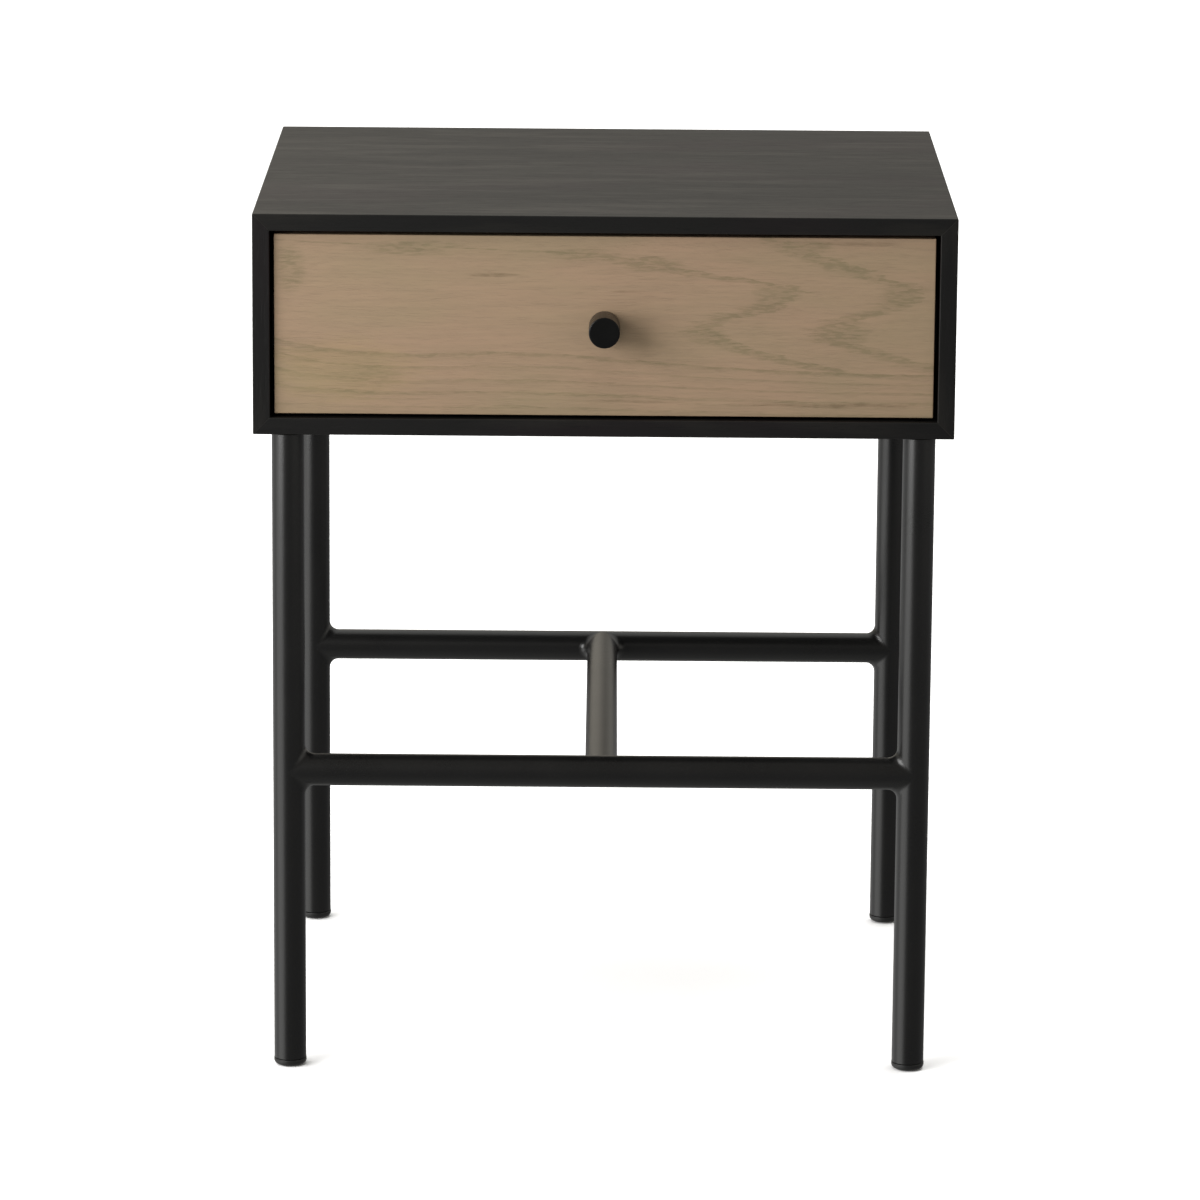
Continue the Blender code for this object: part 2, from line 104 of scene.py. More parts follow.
CASE_CORNER = 0.0007  # rounding along the case's four long corners
JOINT = 0.00005  # half the fine line left open at a mitre
ARRIS = 0.0005
BOX_ARRIS = 0.0010
PANEL_ARRIS = 0.0003
TUBE_WALL = 0.0015
TUBE_END = 0.0004
GAP = 0.0003  # between neighbouring solids
CLEARANCE = Vector((GAP, GAP, GAP))
WELD_RADIUS = 0.0062
WELD_STEPS = 40
BEAD_STEPS = 6
WELD_MARGIN = math.radians(7)  # left free at each end of a bead
ROUND_SIDES = 64
MERGE_DISTANCE = 1e-6  # vertices that a boolean leaves this close are one
SMALL_SIDES = 32
ARC_STEPS = 5
SHARP_ANGLE = math.radians(35)

SIDES = (("left", -1), ("right", 1))
ENDS = ("front", "rear")
X_AXIS = Vector((1.0, 0.0, 0.0))
Y_AXIS = Vector((0.0, 1.0, 0.0))
UP = Vector((0.0, 0.0, 1.0))


# Mesh helpers


def as_mesh(name, bm):
    """The bmesh as mesh data; the bmesh is freed."""
    mesh = bpy.data.meshes.new(name)
    bm.to_mesh(mesh)
    bm.free()
    return mesh


def add_object(name, data):
    """An object for a mesh, lamp or camera, linked to the scene."""
    obj = bpy.data.objects.new(name, data)
    bpy.context.scene.collection.objects.link(obj)
    return obj


def arc(centre, radius, start, end, steps=ARC_STEPS):
    """Points of a circle's arc from one angle to another, in degrees."""
    angles = [math.radians(start + (end - start) * i / steps) for i in range(steps + 1)]
    return [
        (centre[0] + radius * math.cos(angle), centre[1] + radius * math.sin(angle))
        for angle in angles
    ]


def skin(bm, rings, closed=False):
    """Faces between successive rings of vertices; a ring of one vertex is a pole."""
    pairs = list(zip(rings, rings[1:]))
    if closed:
        pairs.append((rings[-1], rings[0]))
    for upper, lower in pairs:
        count = max(len(upper), len(lower))
        for i in range(count):
            j = (i + 1) % count
            if len(upper) == 1:
                bm.faces.new((upper[0], lower[i], lower[j]))
            elif len(lower) == 1:
                bm.faces.new((upper[i], upper[j], lower[0]))
            else:
                bm.faces.new((upper[i], upper[j], lower[j], lower[i]))


def lathe(profile, closed=False, sides=ROUND_SIDES):
    """A bmesh turned round Z from (radius, height) points."""
    bm = bmesh.new()
    rings = []
    for radius, height in profile:
        if radius == 0.0:
            rings.append([bm.verts.new((0.0, 0.0, height))])
            continue
        turn = [math.tau * i / sides for i in range(sides)]
        rings.append(
            [bm.verts.new((radius * math.cos(a), radius * math.sin(a), height)) for a in turn]
        )
    skin(bm, rings, closed)
    return bm


def turned(profile, place, direction=UP):
    """A small turned bmesh whose own +Z points along the direction from the place."""
    return stand(lathe(profile, sides=SMALL_SIDES), place, direction)


def prism(near, far):
    """A bmesh between two outlines, each a list of points in space."""
    bm = bmesh.new()
    rings = [[bm.verts.new(point) for point in outline] for outline in (near, far)]
    for ring in rings:
        bm.faces.new(ring)
    skin(bm, rings)
    return bm


def run_along_y(outline, start, end):
    """A bmesh of an (x, z) outline run along Y from start to end."""
    return prism([(x, start, z) for x, z in outline], [(x, end, z) for x, z in outline])


def ease(bm, edges, arris, segments=3):
    """Rounds edges off."""
    bmesh.ops.bevel(bm, geom=edges, offset=arris, segments=segments, affect="EDGES", profile=0.5)


def block(low, high, arris=0.0, segments=3):
    """A bmesh of a rectangular board with rounded edges."""
    low = Vector(low)
    high = Vector(high)
    bm = bmesh.new()
    matrix = Matrix.Translation((low + high) / 2) @ Matrix.Diagonal((*(high - low), 1.0))
    bmesh.ops.create_cube(bm, size=1.0, matrix=matrix)
    if arris:
        ease(bm, bm.edges[:], arris, segments)
    return bm


def stand(bm, place, direction=UP):
    """Moves a bmesh so that its own +Z points along the direction from the place."""
    turn = Vector(direction).to_track_quat("Z", "Y").to_matrix().to_4x4()
    bmesh.ops.transform(bm, matrix=Matrix.Translation(Vector(place)) @ turn, verts=bm.verts[:])
    return bm


def merge(*parts):
    """One bmesh that holds all of the parts."""
    whole = bmesh.new()
    for part in parts:
        mesh = as_mesh("merging", part)
        whole.from_mesh(mesh)
        bpy.data.meshes.remove(mesh)
    return whole


def scratch(bm):
    """A temporary object for a Boolean."""
    bmesh.ops.recalc_face_normals(bm, faces=bm.faces[:])
    return add_object("scratch", as_mesh("scratch", bm))


def carve(bm, cutters, operation="DIFFERENCE"):
    """The bmesh with the cutters taken away from it, or joined to it."""
    body = scratch(bm)
    tools = [scratch(cutter) for cutter in cutters]
    for tool in tools:
        boolean = body.modifiers.new("carve", "BOOLEAN")
        boolean.operation = operation
        boolean.solver = "EXACT"
        boolean.object = tool
    depsgraph = bpy.context.evaluated_depsgraph_get()
    result = bmesh.new()
    result.from_object(body, depsgraph)
    bmesh.ops.remove_doubles(result, verts=result.verts[:], dist=MERGE_DISTANCE)
    for obj in (body, *tools):
        mesh = obj.data
        bpy.data.objects.remove(obj)
        bpy.data.meshes.remove(mesh)
    return result


def add_piece(name, bm, material, slot, node, smooth=True):
    """Links a bmesh as a visible piece that stands for a CAD node and rides with it."""
    bmesh.ops.recalc_face_normals(bm, faces=bm.faces[:])
    mesh = as_mesh(name, bm)
    if smooth:
        mesh.shade_smooth()
        mesh.set_sharp_from_angle(angle=SHARP_ANGLE)
    obj = add_object(name, mesh)
    mesh.materials.append(material)
    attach(obj, frame["nodes"][node]["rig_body"])
    return obj


def stand_in(node, bm, material, slot, smooth=True):
    """A finer mesh in the place of a CAD node."""
    obj = add_piece(node + "_fine", bm, material, slot, node, smooth)
    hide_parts(node)
    return obj


# Shader helpers


class Nodes:
    """A node tree with one short call for each kind of node."""

    def __init__(self, tree, coordinates):
        self.tree = tree
        self.here = self.node("TexCoord").outputs[coordinates]

    def node(self, kind, *values, **settings):
        """A new node with its settings, and its first inputs fed with the values."""
        made = self.tree.nodes.new("ShaderNode" + kind)
        for key, value in settings.items():
            setattr(made, key, value)
        for socket, value in zip(made.inputs, values):
            self.feed(socket, value)
        return made

    def feed(self, socket, value):
        """Links a node's output to the socket, or sets a plain number or colour on it."""
        if isinstance(value, bpy.types.NodeSocket):
            self.tree.links.new(value, socket)
        elif isinstance(value, (tuple, Vector)):
            wanted = len(socket.default_value)
            socket.default_value = (*value, 1.0)[:wanted]
        else:
            socket.default_value = value

    def fill(self, node, **values):
        """Feeds a node's inputs by name."""
        for name, value in values.items():
            self.feed(node.inputs[name], value)
        return node

    def scaled(self, vector, scale, shift=(0.0, 0.0, 0.0)):
        node = self.fill(self.node("Mapping"), Vector=vector, Scale=scale, Location=shift)
        return node.outputs[0]

    def split(self, vector):
        return tuple(self.node("SeparateXYZ", vector).outputs)

    def join(self, x, y, z):
        return self.node("CombineXYZ", x, y, z).outputs[0]

    def dot(self, a, b):
        return self.node("VectorMath", a, b, operation="DOT_PRODUCT").outputs["Value"]

    def noise(self, vector, scale=1.0, detail=2.0, roughness=0.5, shift=(0.0, 0.0, 0.0)):
        """Noise at one scale, or stretched by three, with the pattern moved by the shift."""
        if isinstance(scale, tuple):
            vector = self.scaled(vector, scale, shift)
            scale = 1.0
        node = self.fill(self.node("TexNoise"), Vector=vector, Scale=scale)
        self.fill(node, Detail=detail, Roughness=roughness)
        return node.outputs["Fac"]

    def math(self, operation, *values):
        return self.node("Math", *values, operation=operation).outputs[0]

    def plus(self, a, b):
        return self.math("ADD", a, b)

    def minus(self, a, b):
        return self.math("SUBTRACT", a, b)

    def times(self, a, b):
        return self.math("MULTIPLY", a, b)

    def most(self, a, b):
        return self.math("MAXIMUM", a, b)

    def line(self, value, slope, start):
        """slope * value + start"""
        return self.math("MULTIPLY_ADD", value, slope, start)

    def centred(self, value, reach):
        """A 0..1 noise value turned into -reach..reach."""
        return self.line(value, 2.0 * reach, -reach)

    def between(self, *values):
        """A value moved from one range to another, 0..1 if not given, smooth and clamped."""
        return self.node("MapRange", *values, interpolation_type="SMOOTHSTEP").outputs[0]

    def share(self, value, low, high):
        """Where the value lies from low (0) to high (1)."""
        return self.node("MapRange", value, low, high).outputs[0]

    def bands(self, value, stops):
        """A 0..1 strength read from (place, strength) stops along a value."""
        low, high = stops[0][0], stops[-1][0]
        node = self.node("ValToRGB", self.share(value, low, high))
        node.color_ramp.interpolation = "EASE"
        elements = node.color_ramp.elements
        while len(elements) > 1:
            elements.remove(elements[-1])
        for i, (place, strength) in enumerate(stops):
            position = (place - low) / (high - low)
            element = elements[0] if i == 0 else elements.new(position)
            element.position = position
            element.color = (strength, strength, strength, 1.0)
        return node.outputs[0]

    def curve(self, value, low, high, points):
        """A smooth function through (place, result) points."""
        results = [result for place, result in points]
        least = min(results)
        span = max(results) - least
        spots = [
            ((place - low) / (high - low), (result - least) / span) for place, result in points
        ]
        node = self.node("FloatCurve")
        line = node.mapping.curves[0]
        line.points[0].location = spots[0]
        line.points[1].location = spots[-1]
        for spot in spots[1:-1]:
            line.points.new(*spot)
        node.mapping.update()
        self.feed(node.inputs["Value"], self.share(value, low, high))
        return self.line(node.outputs[0], span, least)

    def mix(self, amount, a, b, blend="MIX"):
        node = self.node("Mix", data_type="RGBA", blend_type=blend)
        for number, value in ((0, amount), (6, a), (7, b)):
            self.feed(node.inputs[number], value)
        return node.outputs[2]

    def darken(self, colour, amount):
        """The colour multiplied by 1 - amount."""
        return self.mix(1.0, colour, self.minus(1.0, amount), "MULTIPLY")

    def stain(self, colour, tint, amount):
        """The colour multiplied by the tint, as far as the amount says."""
        return self.mix(amount, colour, tint, "MULTIPLY")


class Surface(Nodes):
    """A Principled material."""

    def __init__(self, name, roughness, specular=0.5, metallic=0.0):
        self.material = bpy.data.materials.new(name)
        self.material.use_nodes = True
        super().__init__(self.material.node_tree, "Object")
        self.shader = self.tree.nodes["Principled BSDF"]
        inputs = self.shader.inputs
        inputs["Roughness"].default_value = roughness
        inputs["Specular IOR Level"].default_value = specular
        inputs["Metallic"].default_value = metallic

    def edge_wear(self, radius):
        """1 on the arrises and 0 on flat faces."""
        bevel = self.node("Bevel", radius, samples=4)
        geometry = self.node("NewGeometry")
        facing = self.dot(bevel.outputs[0], geometry.outputs["Normal"])
        return self.between(facing, 0.995, 0.90)

    def bump(self, *layers):
        """Bump from (height, depth in metres) layers."""
        normal = None
        for height, depth in layers:
            node = self.fill(self.node("Bump"), Strength=1.0, Distance=depth, Height=height)
            if normal is not None:
                self.fill(node, Normal=normal)
            normal = node.outputs[0]
        self.fill(self.shader, Normal=normal)

    def finish(self, colour, roughness):
        self.fill(self.shader, **{"Base Color": colour, "Roughness": roughness})
        return self.material


# Materials


def along_grain(wood, axis, shift):
    """Object coordinates swapped so that the grain runs along the result's X."""
    x, y, z = wood.split(wood.here)
    swapped = {"x": (x, y, z), "z": (z, y, x), "y": (y, x, z)}[axis]
    return wood.scaled(wood.join(*swapped), (1.0, 1.0, 1.0), shift)


def black_oak(name, axis, shift):
    """Black-stained open-pored oak veneer under a matt lacquer."""
    oak = Surface(name, roughness=0.45, specular=0.275)
    grain = along_grain(oak, axis, shift)
    wander = oak.noise(grain, (3.0, 9.0, 9.0))
    x, y, z = oak.split(grain)
    bent = oak.join(x, oak.plus(y, oak.centred(wander, 0.006)), z)
    pores = oak.noise(bent, (70.0, 1300.0, 1300.0), roughness=0.6)
    pores = oak.between(pores, 0.52, 0.70)
    fibre = oak.noise(bent, (30.0, 420.0, 420.0), detail=3.0)
    figure = oak.noise(bent, (11.0, 80.0, 80.0), detail=3.0)
    figure = oak.between(figure, 0.46, 0.68)
    patches = oak.noise(grain, (4.0, 24.0, 24.0), detail=3.0)
    patches = oak.between(patches, 0.34, 0.66)
    tone = oak.noise(grain, (5.0, 13.0, 13.0), detail=3.0, shift=(3.0, 8.0, 5.0))
    tone = oak.between(tone, 0.50, 0.68, 0.0, 0.8)
    stain = oak.mix(patches, (0.0036, 0.0035, 0.0033), (0.0054, 0.0052, 0.0047))
    stain = oak.mix(tone, stain, (0.0070, 0.0047, 0.0053))
    stain = oak.mix(oak.times(figure, 0.7), stain, (0.0110, 0.0101, 0.0087))
    stain = oak.darken(stain, oak.times(pores, 0.55))
    worn = oak.times(oak.edge_wear(0.0008), 0.5)
    stain = oak.mix(worn, stain, (0.024, 0.022, 0.019))
    gloss = oak.line(patches, -0.025, 0.455)
    gloss = oak.line(figure, -0.030, gloss)
    gloss = oak.line(pores, 0.06, gloss)
    gloss = oak.line(oak.minus(fibre, 0.5), 0.05, gloss)
    oak.bump((fibre, 0.00004), (oak.minus(1.0, pores), 0.00003))
    return oak.finish(stain, gloss)


# The oak face's figure, in metres from its middle: x to the right, z up.
# How far to the right each cathedral arch reaches at each height.
MIDDLE_ARCH = (
    (-0.058, 0.31), (-0.04, 0.24), (-0.033, 0.19), (-0.029, 0.155),
    (-0.023, 0.12), (-0.015, 0.093), (-0.01, 0.078), (-0.005, 0.066),
    (0.001, 0.067), (0.007, 0.083), (0.012, 0.104), (0.018, 0.114),
    (0.023, 0.117), (0.027, 0.11), (0.03, 0.098), (0.033, 0.072),
    (0.04, 0.03), (0.046, -0.015), (0.051, -0.12), (0.058, -0.3),
)
RIGHT_ARCH = (
    (-0.058, 0.36), (-0.04, 0.285), (-0.023, 0.198), (-0.018, 0.18),
    (-0.011, 0.158), (-0.004, 0.148), (0.001, 0.15), (0.005, 0.16),
    (0.01, 0.176), (0.015, 0.186), (0.021, 0.195), (0.025, 0.196),
    (0.029, 0.186), (0.033, 0.171), (0.038, 0.158), (0.046, 0.137),
    (0.058, 0.112),
)
ARCH_STRENGTHS = (
    (-0.075, 0.0), (-0.05, 0.14), (-0.044, 0.02), (-0.02, 0.05),
    (-0.009, 0.7), (0.0, 1.0), (0.006, 0.85), (0.011, 0.1),
    (0.026, 0.03), (0.033, 0.16), (0.04, 0.0),
)
# The height of the long grain lines below the arches, from left to right.
SWEEP = (
    (-0.212, 0.01), (-0.168, 0.002), (-0.125, -0.0005), (-0.06, 0.001),
    (0.008, -0.003), (0.078, -0.009), (0.16, -0.015), (0.212, -0.0155),
)
LINE_STRENGTHS = (
    (-0.058, 0.1), (-0.0555, 0.15), (-0.0534, 0.62), (-0.0524, 0.08), (-0.0498, 0.12),
    (-0.0482, 0.42), (-0.0474, 0.06), (-0.0462, 0.2), (-0.045, 0.75), (-0.0439, 1.0),
    (-0.0431, 0.3), (-0.0424, 0.06), (-0.0385, 0.1), (-0.037, 0.5), (-0.0359, 0.7),
    (-0.0349, 0.06), (-0.0318, 0.22), (-0.0312, 0.04), (-0.0295, 0.16), (-0.0273, 0.72),
    (-0.0262, 0.06), (-0.0222, 0.18), (-0.0188, 1.0), (-0.0176, 0.05), (-0.012, 0.0),
)
# Soft olive patches: middle x and z, half length, half height and strength.
PATCHES = (
    (-0.201, 0.036, 0.009, 0.015, 0.75), (-0.196, -0.016, 0.02, 0.01, 0.3),
    (-0.153, -0.033, 0.022, 0.007, 0.42), (-0.121, 0.05, 0.03, 0.0055, 0.8),
    (-0.012, 0.046, 0.022, 0.0042, 0.75), (0.03, 0.0405, 0.018, 0.0052, 0.95),
    (0.066, -0.0045, 0.013, 0.0075, 0.7), (0.107, 0.0235, 0.012, 0.007, 0.55),
    (0.127, 0.0525, 0.02, 0.005, 0.9), (0.157, -0.003, 0.013, 0.009, 0.8),
    (0.187, 0.02, 0.01, 0.0085, 0.65),
)
# Short dark streaks, in the same way.
STREAKS = (
    (-0.071, 0.0328, 0.015, 0.0015, 0.75), (-0.025, 0.001, 0.016, 0.0012, 0.3),
    (0.0146, 0.0228, 0.01, 0.001, 0.55), (0.164, 0.0545, 0.024, 0.0014, 0.6),
    (0.15, -0.0508, 0.056, 0.0014, 0.8), (0.02, -0.0488, 0.03, 0.001, 0.45),
)
OLIVE = (0.735, 0.785, 0.725)
STREAK_BROWN = (0.62, 0.61, 0.57)
# A broad area at the lower left that has yellowed a little.
YELLOWED_AREA = ((-0.168, -0.03, 0.048, 0.02, 1.0),)
YELLOWED = (0.985, 1.01, 0.915)


def natural_oak():
    """Pale matt oak veneer: cathedral arches on the right, long lines below them."""
    oak = Surface("natural_oak", roughness=0.55, specular=0.30)
    place = oak.scaled(oak.here, (1.0, 1.0, 1.0), -FACE_MIDDLE)
    x, _, z = oak.split(place)
    drift = oak.noise(place, (9.0, 9.0, 60.0), detail=3.0)
    waver = oak.noise(place, (26.0, 26.0, 260.0), detail=3.0, shift=(3.0, 0.0, 1.0))
    ragged = oak.noise(place, (80.0, 80.0, 620.0), detail=3.0)
    broken = oak.noise(place, (13.0, 13.0, 120.0), shift=(7.0, 0.0, 2.0))
    flecks = oak.noise(place, (130.0, 130.0, 650.0), detail=3.0, shift=(4.0, 0.0, 9.0))
    flecks = oak.between(flecks, 0.42, 0.60)
    arch_z = oak.plus(z, oak.centred(waver, 0.0016))

    def blots(places):
        """The strongest of several soft-edged ovals with ragged ends."""
        strongest = None
        for middle_x, middle_z, half_x, half_z, strength in places:
            u = oak.line(x, 1.0 / half_x, -middle_x / half_x)
            v = oak.line(arch_z, 1.0 / half_z, -middle_z / half_z)
            off = oak.plus(oak.math("POWER", u, 2.0), oak.math("POWER", v, 2.0))
            off = oak.plus(off, oak.centred(ragged, 0.9))
            blot = oak.between(off, 1.7, 0.0, 0.0, strength)
            strongest = blot if strongest is None else oak.most(strongest, blot)
        return strongest

    def arch(points):
        reach = oak.curve(arch_z, -FACE_HALF.z, FACE_HALF.z, points)
        across = oak.minus(x, reach)
        across = oak.plus(across, oak.centred(drift, 0.008))
        across = oak.plus(across, oak.centred(ragged, 0.016))
        return oak.bands(across, ARCH_STRENGTHS)

    arches = oak.most(arch(MIDDLE_ARCH), arch(RIGHT_ARCH))
    arches = oak.times(arches, oak.between(z, -0.038, -0.024, 0.15, 1.0))
    arches = oak.times(arches, oak.between(broken, 0.30, 0.55, 0.55, 1.0))
    figure = oak.most(arches, blots(PATCHES))
    bend = oak.between(z, -0.055, -0.015, 0.25, 1.0)
    sweep = oak.times(oak.curve(x, -FACE_HALF.x, FACE_HALF.x, SWEEP), bend)
    below = oak.minus(z, sweep)
    below = oak.plus(below, oak.centred(waver, 0.0016))
    below = oak.plus(below, oak.centred(ragged, 0.0008))
    lines = oak.bands(below, LINE_STRENGTHS)
    lines = oak.times(lines, oak.between(broken, 0.30, 0.55, 0.55, 1.1))
    pores = oak.noise(place, (85.0, 300.0, 1900.0), roughness=0.6, shift=(0.0, 5.0, 0.0))
    pores = oak.between(pores, 0.52, 0.68)
    silk = oak.noise(place, (16.0, 16.0, 330.0), detail=3.0, shift=(1.0, 0.0, 4.0))
    sheen = oak.noise(place, (42.0, 42.0, 620.0), shift=(5.0, 0.0, 3.0))
    sheen = oak.between(sheen, 0.52, 0.68)
    cloud = oak.noise(place, (6.0, 6.0, 20.0), shift=(2.0, 0.0, 6.0))
    base = oak.mix(
        oak.between(cloud, 0.36, 0.64), (0.296, 0.219, 0.135), (0.327, 0.223, 0.145)
    )
    base = oak.mix(oak.between(silk, 0.30, 0.70, 0.0, 0.36), base, (0.246, 0.181, 0.115))
    base = oak.mix(oak.times(sheen, 0.26), base, (0.330, 0.237, 0.153))
    base = oak.darken(base, oak.times(pores, 0.07))
    base = oak.stain(base, YELLOWED, blots(YELLOWED_AREA))
    marks = oak.times(figure, oak.line(flecks, 0.75, 0.50))
    base = oak.stain(base, OLIVE, marks)
    marks = oak.times(lines, oak.line(flecks, 0.45, 0.55))
    base = oak.stain(base, OLIVE, marks)
    streaks = oak.times(blots(STREAKS), oak.line(flecks, 0.45, 0.60))
    base = oak.stain(base, STREAK_BROWN, streaks)
    dark = oak.most(figure, lines)
    rough = oak.line(silk, 0.12, 0.48)
    rough = oak.line(dark, 0.06, rough)
    oak.bump(
        (silk, 0.00010),
        (oak.minus(1.0, pores), 0.00006),
        (oak.minus(1.0, oak.times(dark, flecks)), 0.00005),
    )
    return oak.finish(base, rough)


def birch_ply(name, along, across):
    """Plain birch plywood, whose plies show on the drawer box's top and bottom edges."""
    ply = Surface(name, roughness=0.5, specular=0.4)
    grain = along_grain(ply, along, (0.0, 0.0, 0.0))
    figure = ply.noise(grain, (5.0, 70.0, 70.0), detail=3.0)
    fibre = ply.noise(grain, (30.0, 900.0, 900.0))
    cloud = ply.noise(grain, (6.0, 16.0, 16.0))
    colour = ply.mix(ply.between(figure, 0.35, 0.65), (0.46, 0.345, 0.225), (0.55, 0.430, 0.300))
    colour = ply.mix(ply.times(cloud, 0.4), colour, (0.43, 0.315, 0.195))
    colour = ply.darken(colour, ply.times(fibre, 0.14))
    x, y, z = ply.split(ply.here)
    wave = ply.math("SINE", ply.times({"x": x, "y": y}[across], math.tau / 0.0030))
    box_middle = middle_of("drawer_left_side").z
    box_half = size_of("drawer_left_side").z / 2
    off_middle = ply.math("ABSOLUTE", ply.minus(z, box_middle))
    at_edge = ply.between(off_middle, box_half - 0.0008, box_half - 0.0004, 0.0, 0.45)
    plies = ply.times(ply.between(wave, 0.1, 0.5), at_edge)
    colour = ply.mix(plies, colour, (0.30, 0.20, 0.12))
    ply.bump((fibre, 0.00005), (figure, 0.00006))
    return ply.finish(colour, ply.line(fibre, 0.15, 0.42))


def black_fibreboard():
    """Black-painted fibreboard: dull, with a fine tooth and a faint roller texture."""
    board = Surface("black_fibreboard", roughness=0.65, specular=0.3)
    tooth = board.noise(board.here, 2600.0)
    roller = board.noise(board.here, (260.0, 260.0, 130.0), detail=3.0)
    cloud = board.noise(board.here, 14.0, detail=3.0)
    colour = board.mix(cloud, (0.0085, 0.0083, 0.0080), (0.0135, 0.0130, 0.0125))
    board.bump((roller, 0.00006), (tooth, 0.00002))
    return board.finish(colour, board.line(cloud, 0.14, 0.56))


def powder_coat():
    """Black satin powder coat with a fine orange peel."""
    coat = Surface("black_powder_coat", roughness=0.30, specular=0.44)
    peel = coat.noise(coat.here, 750.0, roughness=0.45)
    grit = coat.noise(coat.here, 3200.0, detail=1.0)
    cloud = coat.noise(coat.here, 22.0, detail=3.0)
    dust = coat.between(coat.noise(coat.here, 1500.0, detail=1.0), 0.66, 0.74)
    colour = coat.mix(cloud, (0.0040, 0.0040, 0.0040), (0.0064, 0.0063, 0.0061))
    colour = coat.mix(coat.times(dust, 0.35), colour, (0.028, 0.028, 0.027))
    rough = coat.line(cloud, 0.08, 0.25)
    rough = coat.line(coat.minus(grit, 0.5), 0.06, rough)
    coat.bump((peel, 0.00004), (grit, 0.00001))
    return coat.finish(colour, rough)


def knob_black():
    """Matt black paint on a turned knob, with faint turning marks."""
    paint = Surface("knob_black", roughness=0.3, specular=0.27)
    fine = paint.noise(paint.here, 2400.0)
    cloud = paint.noise(paint.here, 120.0)
    rings = paint.noise(paint.here, (20.0, 5200.0, 20.0), detail=1.0)
    colour = paint.mix(cloud, (0.0012, 0.0012, 0.0011), (0.0024, 0.0023, 0.0021))
    paint.bump((fine, 0.00002), (rings, 0.00001))
    return paint.finish(colour, paint.line(cloud, 0.10, 0.24))


def foot_plastic():
    """Moulded black polypropylene with a fine spark-eroded texture and scuffs below."""
    cap = Surface("foot_plastic", roughness=0.5, specular=0.4)
    grain = cap.noise(cap.here, 2800.0)
    cloud = cap.noise(cap.here, 260.0, detail=3.0)
    low = cap.between(cap.split(cap.here)[2], 0.0012, 0.0)
    scuff = cap.times(low, cap.between(cloud, 0.40, 0.60))
    colour = cap.mix(cloud, (0.006, 0.006, 0.006), (0.010, 0.010, 0.0095))
    colour = cap.mix(scuff, colour, (0.035, 0.034, 0.032))
    cap.bump((grain, 0.00003))
    return cap.finish(colour, cap.line(scuff, 0.25, 0.45))


def plated_steel(name, colours, rough, lengthwise):
    """Steel with a mottled finish, bright or blackened, and drawing lines if lengthwise."""
    steel = Surface(name, roughness=rough, metallic=1.0)
    stretch = (3000.0, 25.0, 3000.0) if lengthwise else (900.0, 900.0, 900.0)
    lines = steel.noise(steel.here, stretch)
    mottle = steel.noise(steel.here, 90.0, detail=4.0, roughness=0.6)
    colour = steel.mix(steel.between(mottle, 0.35, 0.65), *colours)
    colour = steel.darken(colour, steel.times(lines, 0.12))
    gloss = steel.line(mottle, 0.16, rough - 0.08)
    steel.bump((lines, 0.000012), (mottle, 0.00003))
    return steel.finish(colour, gloss)


# Each look with its slot

OAK = (natural_oak(), "natural_oak")
BIRCH_CROSSWISE = (birch_ply("birch_ply", "x", "y"), "birch_ply")
BIRCH_LENGTHWISE = (birch_ply("birch_ply_sides", "y", "x"), "birch_ply")
FIBREBOARD = (black_fibreboard(), "black_fibreboard")
POWDER = (powder_coat(), "black_powder_coat")
KNOB = (knob_black(), "knob_black")
PLASTIC = (foot_plastic(), "foot_plastic")
ZINC_COLOURS = ((0.55, 0.57, 0.60), (0.66, 0.66, 0.64))
BALL_COLOURS = ((0.66, 0.66, 0.66), (0.74, 0.74, 0.74))
BLACKENED_COLOURS = ((0.030, 0.030, 0.032), (0.050, 0.048, 0.046))
ZINC = (plated_steel("zinc_steel", ZINC_COLOURS, 0.34, True), "zinc_steel")
BALL = (plated_steel("ball_steel", BALL_COLOURS, 0.20, False), "ball_steel")
BLACKENED = (plated_steel("black_steel", BLACKENED_COLOURS, 0.40, False), "black_steel")


# Case


def mitred_outline(half_length, outer):
    """A mitred board's section: along its length, and out from the case's middle."""
    inner = outer - BOARD
    end = half_length - JOINT
    near = end - CASE_CORNER
    return [
        *arc((-near, outer - CASE_CORNER), CASE_CORNER, 135, 90),
        *arc((near, outer - CASE_CORNER), CASE_CORNER, 90, 45),
        (end - BOARD, inner), (BOARD - end, inner),
    ]


def case_board(outline, cutters):
    """A board run from front to rear, with its front and rear arrises eased."""
    bm = run_along_y(outline, FRONT, REAR)
    bmesh.ops.recalc_face_normals(bm, faces=bm.faces[:])
    eased = []
    for edge in bm.edges:
        run = edge.verts[0].co - edge.verts[1].co
        mitre = min(abs(run.x), abs(run.z)) > BOARD / 2
        if abs(run.y) <= ARRIS and not mitre:
            eased.append(edge)
    ease(bm, eased, ARRIS)
    return carve(bm, cutters)


